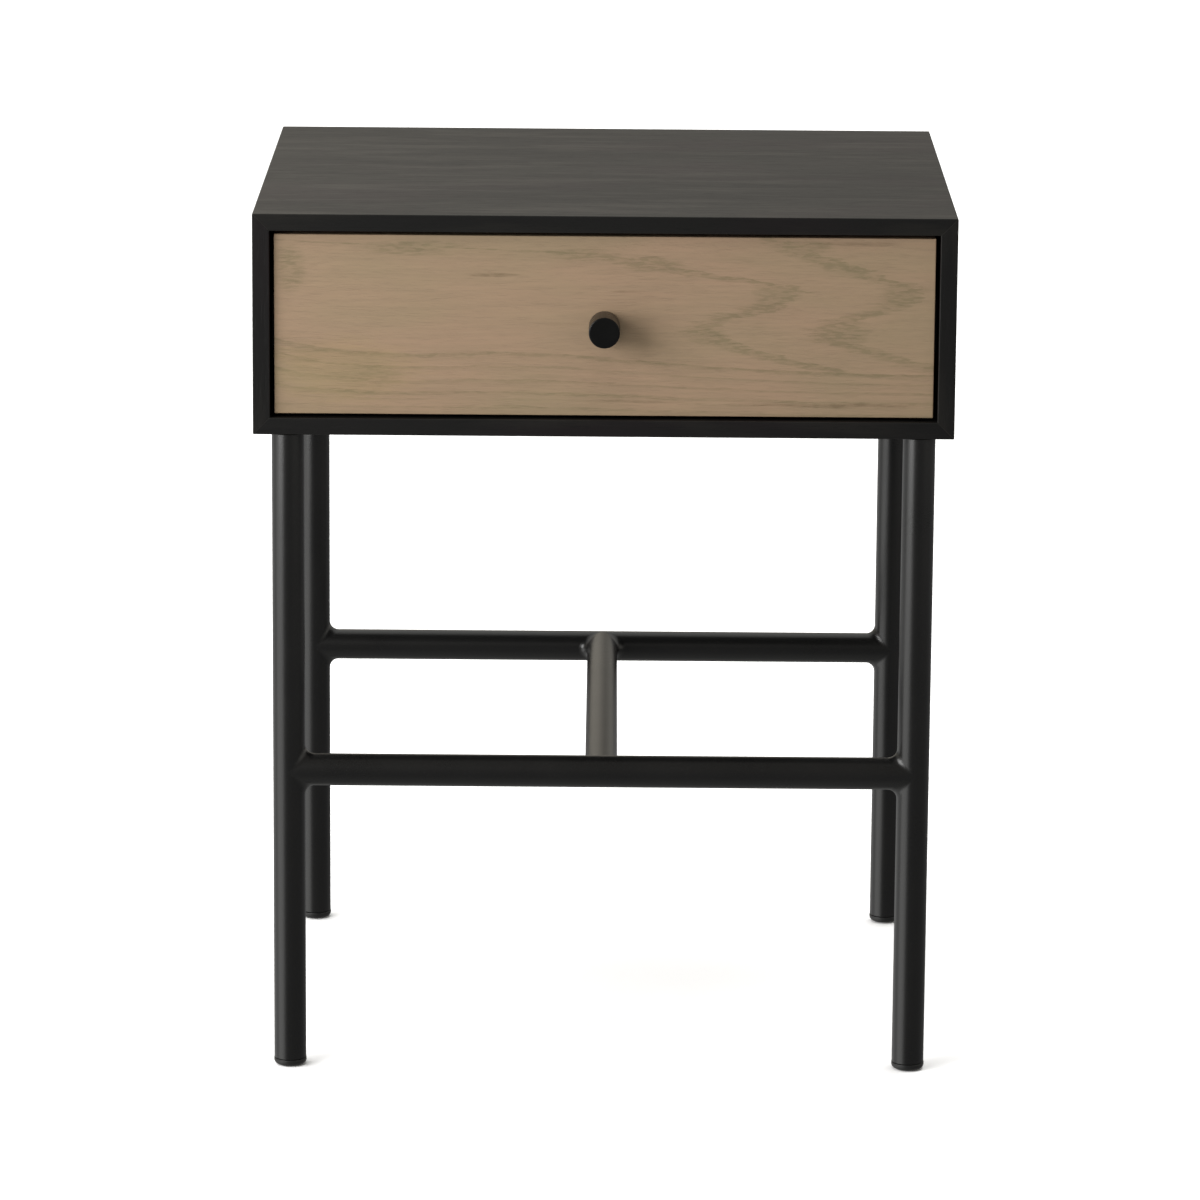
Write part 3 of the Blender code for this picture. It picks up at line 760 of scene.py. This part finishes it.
def build_case():
    back_low, back_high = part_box("back_panel")
    boards = {
        "top_panel": lambda a, b: (a, CASE_MIDDLE.z + b),
        "bottom_panel": lambda a, b: (a, CASE_MIDDLE.z - b),
        "left_side_panel": lambda a, b: (-b, CASE_MIDDLE.z + a),
        "right_side_panel": lambda a, b: (b, CASE_MIDDLE.z + a),
    }
    for number, (node, turn) in enumerate(boards.items()):
        upright = "side" in node
        lengths = (HALF_HEIGHT, HALF_WIDTH) if upright else (HALF_WIDTH, HALF_HEIGHT)
        outline = [turn(a, b) for a, b in mitred_outline(*lengths)]
        cutters = [block(back_low - CLEARANCE, back_high + CLEARANCE)]
        if node == "bottom_panel":
            cutters += [bolt_hole(corner) for corner in corners()]
        shift = (0.37 * number, 0.21 * number, 0.0)  # so that no two boards match
        look = black_oak(node + "_oak", "z" if upright else "x", shift)
        stand_in(node, case_board(outline, cutters), look, "black_oak", smooth=False)
    panel = block(back_low, back_high, arris=PANEL_ARRIS, segments=1)
    stand_in("back_panel", panel, *FIBREBOARD, smooth=False)


# Tube frame

SOLE_SHARE = 0.66  # of the foot cap's radius
DOME_HEIGHT = 0.88  # of a quarter circle's
RIM_EDGE = 0.0003
SPIGOT_CHAMFER = 0.001
PLUG_CHAMFER = 0.0005
BOLT_BORE = 0.0033
BOLT_HOLE = 0.020  # deep
BOLT_SHANK = 0.003
BOLT_POINT = 0.0008
BOLT_SOCKET = 0.0023
COUNTERSINK = 0.003
CUT_PAST = 0.002  # how far a cutter stands out of what it cuts


def corners():
    return [end + "_" + side for end in ENDS for side, _ in SIDES]


def tube_profile(low, high):
    """The closed section of a tube's wall with eased ends."""
    outer = TUBE_RADIUS - TUBE_END
    bore = TUBE_RADIUS - TUBE_WALL
    return [
        (bore, high), *arc((outer, high - TUBE_END), TUBE_END, 90, 0),
        *arc((outer, low + TUBE_END), TUBE_END, 0, -90), (bore, low),
    ]


def saddle(radius, direction, crossing):
    """How far from the crossing tube's axis a tube wall of this radius meets its surface."""
    aside = radius * radius * (1.0 - direction.dot(crossing) ** 2)
    return math.sqrt(max(TUBE_RADIUS ** 2 - aside, 0.0))


def cross_section(axis, crossing):
    """A function from an angle to a unit vector across the tube's axis."""
    other = axis.cross(crossing)
    return lambda angle: crossing * math.cos(angle) + other * math.sin(angle)


def coped_tube(start, end, crossing):
    """A tube between two others' axes, coped to lie against them."""
    axis = (end - start).normalized()
    across = cross_section(axis, crossing)
    bm = bmesh.new()
    rings = []
    for radius, origin, way in (
        (TUBE_RADIUS, start, 1),
        (TUBE_RADIUS, end, -1),
        (TUBE_RADIUS - TUBE_WALL, end, -1),
        (TUBE_RADIUS - TUBE_WALL, start, 1),
    ):
        ring = []
        for i in range(ROUND_SIDES):
            d = across(math.tau * i / ROUND_SIDES)
            along = way * saddle(radius, d, crossing)
            ring.append(bm.verts.new(origin + axis * along + d * radius))
        rings.append(ring)
    skin(bm, rings, closed=True)
    return bm


def weld_fillet(origin, axis, crossing):
    """The two smooth weld beads where a tube along the axis meets a crossing tube."""
    across = cross_section(axis, crossing)
    spine = TUBE_RADIUS + WELD_RADIUS
    bm = bmesh.new()
    for start in (-math.pi / 2, math.pi / 2):
        sections = []
        for i in range(WELD_STEPS + 1):
            sweep = math.pi - 2 * WELD_MARGIN
            d = across(start + WELD_MARGIN + sweep * i / WELD_STEPS)
            lean = abs(d.dot(crossing))
            centre = axis * (spine * lean) + d * spine
            to_crossing = -(centre - crossing * centre.dot(crossing)).normalized()
            to_tube = -d
            points = []
            for j in range(BEAD_STEPS + 1):
                toward = to_tube.slerp(to_crossing, j / BEAD_STEPS, to_tube)
                points.append(origin + centre + toward * WELD_RADIUS)
            root = axis * (TUBE_RADIUS * lean - GAP) + d * (TUBE_RADIUS - GAP)
            points.append(origin + root)
            sections.append([bm.verts.new(point) for point in points])
        skin(bm, sections)
        bm.faces.new(sections[0])
        bm.faces.new(sections[-1])
    return bm


def build_frame():
    for corner in corners():
        leg = middle_of(corner + "_leg")
        tube = stand(lathe(tube_profile(LEG_LOW, LEG_HIGH), closed=True), (leg.x, leg.y, 0.0))
        stand_in(corner + "_leg", tube, *POWDER)
        build_foot(corner, leg)
        build_leg_fixing(corner, leg)
    middles = {}
    for end in ENDS:
        left = middle_of(end + "_left_leg")
        right = middle_of(end + "_right_leg")
        left.z = right.z = STRETCHER_HEIGHT
        stretcher = coped_tube(left, right, UP)
        stand_in(end + "_stretcher", stretcher, *POWDER)
        for side, origin, axis in (("left", left, X_AXIS), ("right", right, -X_AXIS)):
            bead = weld_fillet(origin, axis, UP)
            name = end + "_" + side + "_weld"
            add_piece(name, bead, *POWDER, end + "_stretcher")
        middles[end] = (left + right) / 2
    centre = coped_tube(middles["front"], middles["rear"], X_AXIS)
    stand_in("centre_stretcher", centre, *POWDER)
    for end, axis in (("front", Y_AXIS), ("rear", -Y_AXIS)):
        bead = weld_fillet(middles[end], axis, X_AXIS)
        add_piece("centre_" + end + "_weld", bead, *POWDER, "centre_stretcher")


def build_foot(corner, leg):
    """A foot cap: a spigot in the tube, a slim rim under it and a domed edge to a flat sole."""
    low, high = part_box(corner + "_foot")
    rim = (high.x - low.x) / 2
    spigot = TUBE_RADIUS - TUBE_WALL - GAP
    seat = LEG_LOW - GAP
    sole = SOLE_SHARE * rim
    dome = rim - sole
    profile = [
        (0.0, high.z), (spigot - SPIGOT_CHAMFER, high.z),
        (spigot, high.z - SPIGOT_CHAMFER), (spigot, seat),
        *arc((rim - RIM_EDGE, seat - RIM_EDGE), RIM_EDGE, 90, 0, 3),
        *((sole + x, DOME_HEIGHT * (dome - z)) for x, z in arc((0.0, 0.0), dome, 0, 90, 9)),
        (0.0, 0.0),
    ]
    foot = stand(lathe(profile), (leg.x, leg.y, 0.0))
    stand_in(corner + "_foot", foot, *PLASTIC)


def bolt_hole(corner):
    """What a leg bolt's countersunk head and shank take out of the bottom board."""
    low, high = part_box(corner + "_leg_bolt")
    head = (high.x - low.x) / 2 + GAP
    profile = [
        (0.0, CUT_PAST), (head, CUT_PAST), (head, 0.0),
        (BOLT_BORE, -COUNTERSINK), (BOLT_BORE, -BOLT_HOLE), (0.0, -BOLT_HOLE),
    ]
    place = middle_of(corner + "_leg_bolt")
    place.z = high.z
    return turned(profile, place)


def build_leg_fixing(corner, leg):
    """The threaded plug in the leg's top and the countersunk socket bolt that holds it."""
    low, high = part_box(corner + "_leg_plug")
    plug_radius = (high.x - low.x) / 2
    profile = [
        (plug_radius, high.z), (plug_radius, low.z + PLUG_CHAMFER),
        (plug_radius - PLUG_CHAMFER, low.z), (BOLT_BORE, low.z),
        (BOLT_BORE, high.z),
    ]
    plug = stand(lathe(profile, closed=True, sides=SMALL_SIDES), (leg.x, leg.y, 0.0))
    stand_in(corner + "_leg_plug", plug, *BLACKENED)

    low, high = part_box(corner + "_leg_bolt")
    head = (high.x - low.x) / 2
    length = high.z - low.z
    profile = [
        (0.0, 0.0), (head - GAP, 0.0), (head, -GAP),
        (BOLT_SHANK, -COUNTERSINK), (BOLT_SHANK, BOLT_POINT - length),
        (BOLT_SHANK - BOLT_POINT, -length), (0.0, -length),
    ]
    socket = [(0.0, 0.001), (BOLT_SOCKET, 0.001), (BOLT_SOCKET, -0.002), (0.0, -0.0026)]
    socket = lathe(socket, sides=6)
    bolt = carve(lathe(profile, sides=SMALL_SIDES), [socket])
    stand_in(corner + "_leg_bolt", stand(bolt, (leg.x, leg.y, high.z)), *BLACKENED)


# Drawer

KNOB_EDGE = 0.0007
KNOB_BACK_EDGE = 0.0003
KNOB_DISH = 0.00015
KNOB_HOLE = 0.0023
FIXING_HOLE = 0.0018
KNOB_SHANK = 0.002
FIXING_SHANK = 0.0015
HEAD_RISE = 0.0025
HEAD_RIM = 0.30  # of the head's rise
RECESS_WIDTH = 0.55  # of the head's radius
RECESS_TAPER = 0.45
RECESS_ARM = 0.16
FIXING_SCREWS = ("front_left_fixing_screw", "front_right_fixing_screw")


def screw_hole(node, radius):
    """A straight hole along Y for a screw through the drawer's front."""
    place = middle_of(node)
    place.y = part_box(node)[0].y - GAP
    length = INSIDE_FACE - place.y - GAP + CUT_PAST
    profile = [(0.0, length), (radius, length), (radius, 0.0), (0.0, 0.0)]
    return turned(profile, place, Y_AXIS)


def front_holes():
    fixings = [screw_hole(node, FIXING_HOLE) for node in FIXING_SCREWS]
    return [screw_hole("knob_screw", KNOB_HOLE), *fixings]


def build_drawer():
    low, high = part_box("drawer_front")
    face = carve(block(low, high, ARRIS, 4), front_holes())
    stand_in("drawer_front", face, *OAK, smooth=False)

    bottom_low, bottom_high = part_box("drawer_bottom")
    for node in ("drawer_left_side", "drawer_right_side", "drawer_inner_front", "drawer_back"):
        board = block(*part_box(node), BOX_ARRIS, 4)
        if node != "drawer_back":
            groove = block(bottom_low - CLEARANCE, bottom_high + CLEARANCE)
            holes = front_holes() if node == "drawer_inner_front" else []
            board = carve(board, [groove, *holes])
        look = BIRCH_LENGTHWISE if node.endswith("side") else BIRCH_CROSSWISE
        stand_in(node, board, *look, smooth=False)
    panel = block(bottom_low, bottom_high, PANEL_ARRIS, 1)
    stand_in("drawer_bottom", panel, *BIRCH_CROSSWISE, smooth=False)
    build_knob()
    build_pan_screw("knob_screw", KNOB_SHANK)
    for node in FIXING_SCREWS:
        build_pan_screw(node, FIXING_SHANK)


def build_knob():
    low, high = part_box("knob")
    radius = (high.x - low.x) / 2
    length = high.y - low.y
    profile = [
        (0.0, length - KNOB_DISH), (radius * 0.80, length),
        *arc((radius - KNOB_EDGE, length - KNOB_EDGE), KNOB_EDGE, 90, 0, 6),
        (radius, KNOB_BACK_EDGE), (radius - KNOB_BACK_EDGE, 0.0), (0.0, 0.0),
    ]
    centre = (low + high) / 2
    knob = stand(lathe(profile), (centre.x, high.y, centre.z), -Y_AXIS)
    stand_in("knob", carve(knob, [screw_hole("knob_screw", KNOB_HOLE)]), *KNOB)


def cross_recess(depth, width):
    """The two arms of the tapered cross cut in a screw's head."""
    arms = []
    for long_axis in (0, 1):
        arm = bmesh.new()
        bmesh.ops.create_cube(arm, size=1.0)
        for vertex in arm.verts:
            deep = vertex.co.z < 0
            vertex.co[long_axis] *= 2 * width * (RECESS_TAPER if deep else 1.0)
            vertex.co[1 - long_axis] *= 2 * width * RECESS_ARM
            vertex.co.z = -depth if deep else 0.001
        arms.append(arm)
    return arms


def build_pan_screw(node, shank):
    low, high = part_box(node)
    centre = (low + high) / 2
    head = (high.x - low.x) / 2
    seat = high.y - HEAD_RISE
    dome = [
        (head * x, HEAD_RISE * (HEAD_RIM + (1.0 - HEAD_RIM) * z))
        for x, z in arc((0.0, 0.0), 1.0, 90, 0, 9)
    ]
    dome[0] = (0.0, HEAD_RISE)  # exactly on the axis
    profile = dome + [
        (head, 0.0), (shank, 0.0), (shank, low.y + 0.001 - seat),
        (shank * 0.5, low.y - seat), (0.0, low.y - seat),
    ]
    recess = cross_recess(0.0012, head * RECESS_WIDTH)
    for arm in recess:
        bmesh.ops.translate(arm, vec=UP * HEAD_RISE, verts=arm.verts[:])
    screw = carve(lathe(profile, sides=SMALL_SIDES), recess)
    stand_in(node, stand(screw, (centre.x, seat, centre.z), Y_AXIS), *ZINC)


# Slides

RAIL_SHEET = 0.0012
RAIL_BEND = 0.0010
RAIL_LIP = 0.0015
MIDDLE_LIP = 0.87 * RAIL_LIP
CAGE_SHEET = 0.0006
CAGE_BEND = 0.0008
BALL_RADIUS = 0.0015
BALLS_IN_ROW = 9
BALL_SPACING = 0.0155
BALL_INSET = {"outer": 0.0021, "inner": 0.0015}  # from the cage flange's free edge
SCREW_SHANK = 0.0015
SCREW_CONE = 0.0017
SCREW_POINT = 0.0025
SCREW_EDGE = 0.0002
SCREW_ROOM = 0.0002
SLOT_WIDTH = 0.0045
SLOT_LENGTH = 0.014
SLOT_REACH = 0.004  # how far a slot's cutter stands past the web on each side
SLOT_PLACES = (0.30, 0.50, 0.70)  # shares of the rail's length


def folded_section(path, thickness, bend):
    """The outline of a sheet folded along (x, z) points, with round bends."""
    points = [Vector(point) for point in path]
    line = [(points[0], (points[1] - points[0]).normalized())]
    for before, here, after in zip(points, points[1:], points[2:]):
        into = (here - before).normalized()
        out = (after - here).normalized()
        centre = here - into * bend + out * bend
        for i in range(ARC_STEPS + 1):
            angle = math.pi / 2 * i / ARC_STEPS
            way = into * math.cos(angle) + out * math.sin(angle)
            spoke = into * math.sin(angle) - out * math.cos(angle)
            line.append((centre + spoke * bend, way))
    line.append((points[-1], (points[-1] - points[-2]).normalized()))
    half = thickness / 2
    left = [(p.x - way.y * half, p.y + way.x * half) for p, way in line]
    right = [(p.x + way.y * half, p.y - way.x * half) for p, way in line]
    return left + right[::-1]


def channel_path(node, sheet, lip=0.0, proud=None, opens_outward=False):
    """The folded path of a channel, read from its CAD node's box."""
    low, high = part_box(node)
    side = math.copysign(1.0, low.x)
    nearest = min(abs(low.x), abs(high.x))
    furthest = max(abs(low.x), abs(high.x))
    half_height = (high.z - low.z) / 2
    flange = half_height - (sheet / 2 if proud is None else proud)
    web = furthest - sheet / 2
    reach = nearest + (sheet / 2 if lip else 0.0)
    if opens_outward:
        web = nearest + sheet / 2
        reach = furthest
    half = [(web, flange), (reach, flange)]
    if lip:
        half.append((reach, flange - lip))
    path = [(x, -z) for x, z in reversed(half)] + half
    return [(side * x, RAIL_Z + z) for x, z in path]


def screw_seat(node, facing):
    """Where a rail screw's head lies, the way it faces, its radius and the screw's length."""
    low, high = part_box(node)
    side = math.copysign(1.0, low.x)
    inner, outer = sorted((abs(low.x), abs(high.x)))
    place = (low + high) / 2
    place.x = side * (inner if facing < 0 else outer)
    return place, X_AXIS * side * facing, (high.z - low.z) / 2, outer - inner


def countersink(node, facing):
    """The hole in a rail for a countersunk screw, from the screw's CAD box."""
    place, direction, head, _ = screw_seat(node, facing)
    head += SCREW_ROOM
    shank = SCREW_SHANK + SCREW_ROOM
    profile = [
        (0.0, 0.001), (head, 0.001), (head, 0.0),
        (shank, -SCREW_CONE - SCREW_ROOM), (shank, -0.004), (0.0, -0.004),
    ]
    return turned(profile, place, direction)


def slot_hole(x, y):
    """A round-ended slot through a rail's web, long along Y."""
    half = SLOT_WIDTH / 2
    straight = (SLOT_LENGTH - SLOT_WIDTH) / 2
    outline = arc((straight, 0.0), half, -90, 90, 10) + arc((-straight, 0.0), half, 90, 270, 10)
    return prism(*(
        [(x + reach, y + along, RAIL_Z + up) for along, up in outline]
        for reach in (-SLOT_REACH, SLOT_REACH)
    ))


def build_slides():
    length = RAIL_REAR - RAIL_FRONT
    slots = [RAIL_FRONT + length * share for share in SLOT_PLACES]
    for side_name, side in SIDES:
        kinds = (
            ("outer", RAIL_LIP, False, "case", -1),
            ("middle", MIDDLE_LIP, False, None, 0),
            ("inner", 0.0, True, "drawer", 1),
        )
        for kind, lip, opens_outward, held_to, facing in kinds:
            node = side_name + "_" + kind + "_rail"
            path = channel_path(node, RAIL_SHEET, lip, opens_outward=opens_outward)
            section = folded_section(path, RAIL_SHEET, RAIL_BEND)
            rail = run_along_y(section, RAIL_FRONT, RAIL_REAR)
            web_x = path[len(path) // 2][0]
            cutters = [slot_hole(web_x, y) for y in slots]
            if held_to:
                names = [side_name + "_" + end + "_" + held_to + "_screw" for end in ENDS]
                cutters += [countersink(name, facing) for name in names]
                for name in names:
                    build_wood_screw(name, facing)
            stand_in(node, carve(rail, cutters), *BLACKENED)
        for kind in ("outer", "inner"):
            build_cage(side_name + "_" + kind + "_ball_cage", side, BALL_INSET[kind])


def build_cage(node, side, inset):
    """A folded cage with a row of bearing balls seated in each flange."""
    low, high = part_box(node)
    path = channel_path(node, CAGE_SHEET, proud=BALL_RADIUS)
    cage = run_along_y(folded_section(path, CAGE_SHEET, CAGE_BEND), low.y, high.y)
    x = path[-1][0] + side * inset
    middle = (low.y + high.y) / 2
    balls = []
    for z in (path[0][1], path[-1][1]):
        for i in range(BALLS_IN_ROW):
            y = middle + (i - (BALLS_IN_ROW - 1) / 2) * BALL_SPACING
            seat = Matrix.Translation((x, y, z))
            ball = bmesh.new()
            bmesh.ops.create_uvsphere(
                ball, u_segments=20, v_segments=12, radius=BALL_RADIUS, matrix=seat
            )
            balls.append(ball)
    stand_in(node, carve(cage, [merge(*balls)], "UNION"), *BALL)


def build_wood_screw(node, facing):
    """A countersunk screw with a cross recess, its head facing the middle (-1) or out (1)."""
    place, direction, head, length = screw_seat(node, facing)
    profile = [
        (0.0, 0.0), (head - SCREW_EDGE, 0.0), (head, -SCREW_EDGE),
        (SCREW_SHANK, -SCREW_CONE), (SCREW_SHANK, SCREW_POINT - length),
        (0.0, -length),
    ]
    recess = cross_recess(0.0010, head * RECESS_WIDTH)
    screw = carve(lathe(profile, sides=SMALL_SIDES), recess)
    stand_in(node, stand(screw, place, direction), *ZINC)


# Stage, lights and camera

FLOOR_REACH = 16.0
FLOOR_DROP = 0.0002
FLOOR_COLOURS = ((0.889, 0.890, 0.893), (0.901, 0.902, 0.905))
LOOK_AT = Vector((0.0, 0.0, 0.33))
KEY_PLACE = (-1.63, -1.38, 1.03)
KEY_SIZE = (1.34, 1.34)
KEY_RADIANCE = 8.4
SIDE_PLACE = (-2.3, 0.3, 0.8)
SIDE_SIZE = (2.4, 1.6)
SIDE_RADIANCE = 3.0
SUN_DIRECTION = (-0.10, 0.10, 1.0)
SUN_IRRADIANCE = 3.3
SUN_SPREAD = 75
SENSOR_WIDTH = 36.0
LENS = 185.3
CAMERA_PLACE = Vector((0.0016, FRONT - 3.895, 1.2029))
YAW, PITCH, ROLL = 0.0008, -0.2236, -0.0075
# The surroundings' colours: behind, in front, at the right, above and below.
WALL_LEFT = (0.635, 0.592, 0.510)
WALL_MIDDLE = (0.325, 0.304, 0.264)
WALL_RIGHT = (0.540, 0.520, 0.470)
ROOM_LEFT = (0.400, 0.365, 0.315)
ROOM = (0.228, 0.222, 0.212)
RIGHT_SIDE = (0.94, 0.91, 0.85)
CEILING = (0.22, 0.21, 0.19)
SKYLIGHT = (0.95, 0.95, 0.92)
BELOW = (0.23, 0.23, 0.23)
BELOW_LEFT = (0.82, 0.82, 0.81)
BELOW_PATCH = (2.28, 2.28, 2.24)
UNDER = (0.37, 0.37, 0.36)
# The directions that the two bright areas below the horizon lie in.
LIT_LEFT = (-1.0, 0.05, -0.25)
LIT_PATCH = (-0.905, -0.425, -0.25)


def build_floor():
    bm = bmesh.new()
    bmesh.ops.create_grid(bm, x_segments=8, y_segments=8, size=FLOOR_REACH)
    bmesh.ops.translate(bm, vec=(0.0, 0.0, -FLOOR_DROP), verts=bm.verts[:])
    floor = add_object("floor", as_mesh("floor", bm))
    surface = Surface("pale_floor", roughness=0.9, specular=0.1)
    cloud = surface.noise(surface.here, 1.5, detail=3.0)
    colour = surface.mix(cloud, *FLOOR_COLOURS)
    floor.data.materials.append(surface.finish(colour, 0.9))
    floor.visible_glossy = False
    floor.visible_diffuse = False


def build_world():
    """Soft surroundings that only the lighting and the reflections show.

    Behind the table a wall, lighter at both ends, under a skylight; a bright right side;
    in front a dim room, lighter at its left; below the horizon a lit patch at the left.
    """
    world = bpy.data.worlds.new("studio")
    world.use_nodes = True
    nodes = Nodes(world.node_tree, "Generated")
    x, y, z = nodes.split(nodes.here)

    def blend(value, low, high, a, b):
        return nodes.mix(nodes.between(value, low, high), a, b)

    def toward(direction):
        return nodes.dot(nodes.here, Vector(direction).normalized())

    wall = blend(x, -0.12, 0.10, WALL_LEFT, WALL_MIDDLE)
    wall = blend(x, 0.08, 0.40, wall, WALL_RIGHT)
    room = blend(x, -0.60, -0.20, ROOM_LEFT, ROOM)
    around = blend(y, -0.6, 0.6, room, wall)
    around = blend(x, 0.20, 0.90, around, RIGHT_SIDE)
    ceiling = blend(y, -0.1, 0.3, CEILING, SKYLIGHT)
    above = blend(z, 0.35, 0.75, around, ceiling)
    below = blend(z, -0.95, -0.35, UNDER, BELOW)
    below = blend(toward(LIT_LEFT), 0.30, 0.75, below, BELOW_LEFT)
    below = blend(toward(LIT_PATCH), 0.84, 0.97, below, BELOW_PATCH)
    all_round = blend(z, -0.04, 0.02, below, above)
    nodes.feed(nodes.tree.nodes["Background"].inputs[0], all_round)
    bpy.context.scene.world = world


def aim(obj, direction):
    """Turns a lamp so that it shines against the direction."""
    obj.rotation_euler = Vector(direction).to_track_quat("Z", "Y").to_euler()


def softbox(name, place, width, height, radiance):
    """A rectangular lamp that faces the table, unseen by the camera."""
    lamp = bpy.data.lights.new(name, "AREA")
    lamp.shape = "RECTANGLE"
    lamp.size = width
    lamp.size_y = height
    lamp.energy = radiance * math.pi * width * height
    obj = add_object(name, lamp)
    obj.location = place
    aim(obj, Vector(place) - LOOK_AT)
    obj.visible_camera = False
    return obj


def soft_sun():
    """A very soft overhead light that reaches the whole floor evenly."""
    lamp = bpy.data.lights.new("overhead_light", "SUN")
    lamp.energy = SUN_IRRADIANCE
    lamp.angle = math.radians(SUN_SPREAD)
    obj = add_object("overhead_light", lamp)
    aim(obj, SUN_DIRECTION)
    return obj


def build_lights():
    softbox("key_light", KEY_PLACE, *KEY_SIZE, KEY_RADIANCE)
    side_light = softbox("side_light", SIDE_PLACE, *SIDE_SIZE, SIDE_RADIANCE)
    side_light.visible_glossy = soft_sun().visible_glossy = False


def build_camera():
    """Straight in front and a little above, with a long lens."""
    camera = bpy.data.cameras.new("camera")
    camera.sensor_width = SENSOR_WIDTH
    camera.lens = LENS
    obj = add_object("camera", camera)
    turns = zip((YAW, PITCH, ROLL), "ZXY")
    yaw, pitch, roll = (Matrix.Rotation(angle, 3, axis) for angle, axis in turns)
    right, forward, up = (yaw @ pitch @ roll).transposed()
    basis = Matrix((right, up, -forward)).transposed()
    obj.matrix_world = Matrix.Translation(CAMERA_PLACE) @ basis.to_4x4()
    bpy.context.scene.camera = obj


build_case()
build_frame()
build_drawer()
build_slides()
build_floor()
build_world()
build_lights()
build_camera()
bpy.context.scene.view_settings.view_transform = "Standard"
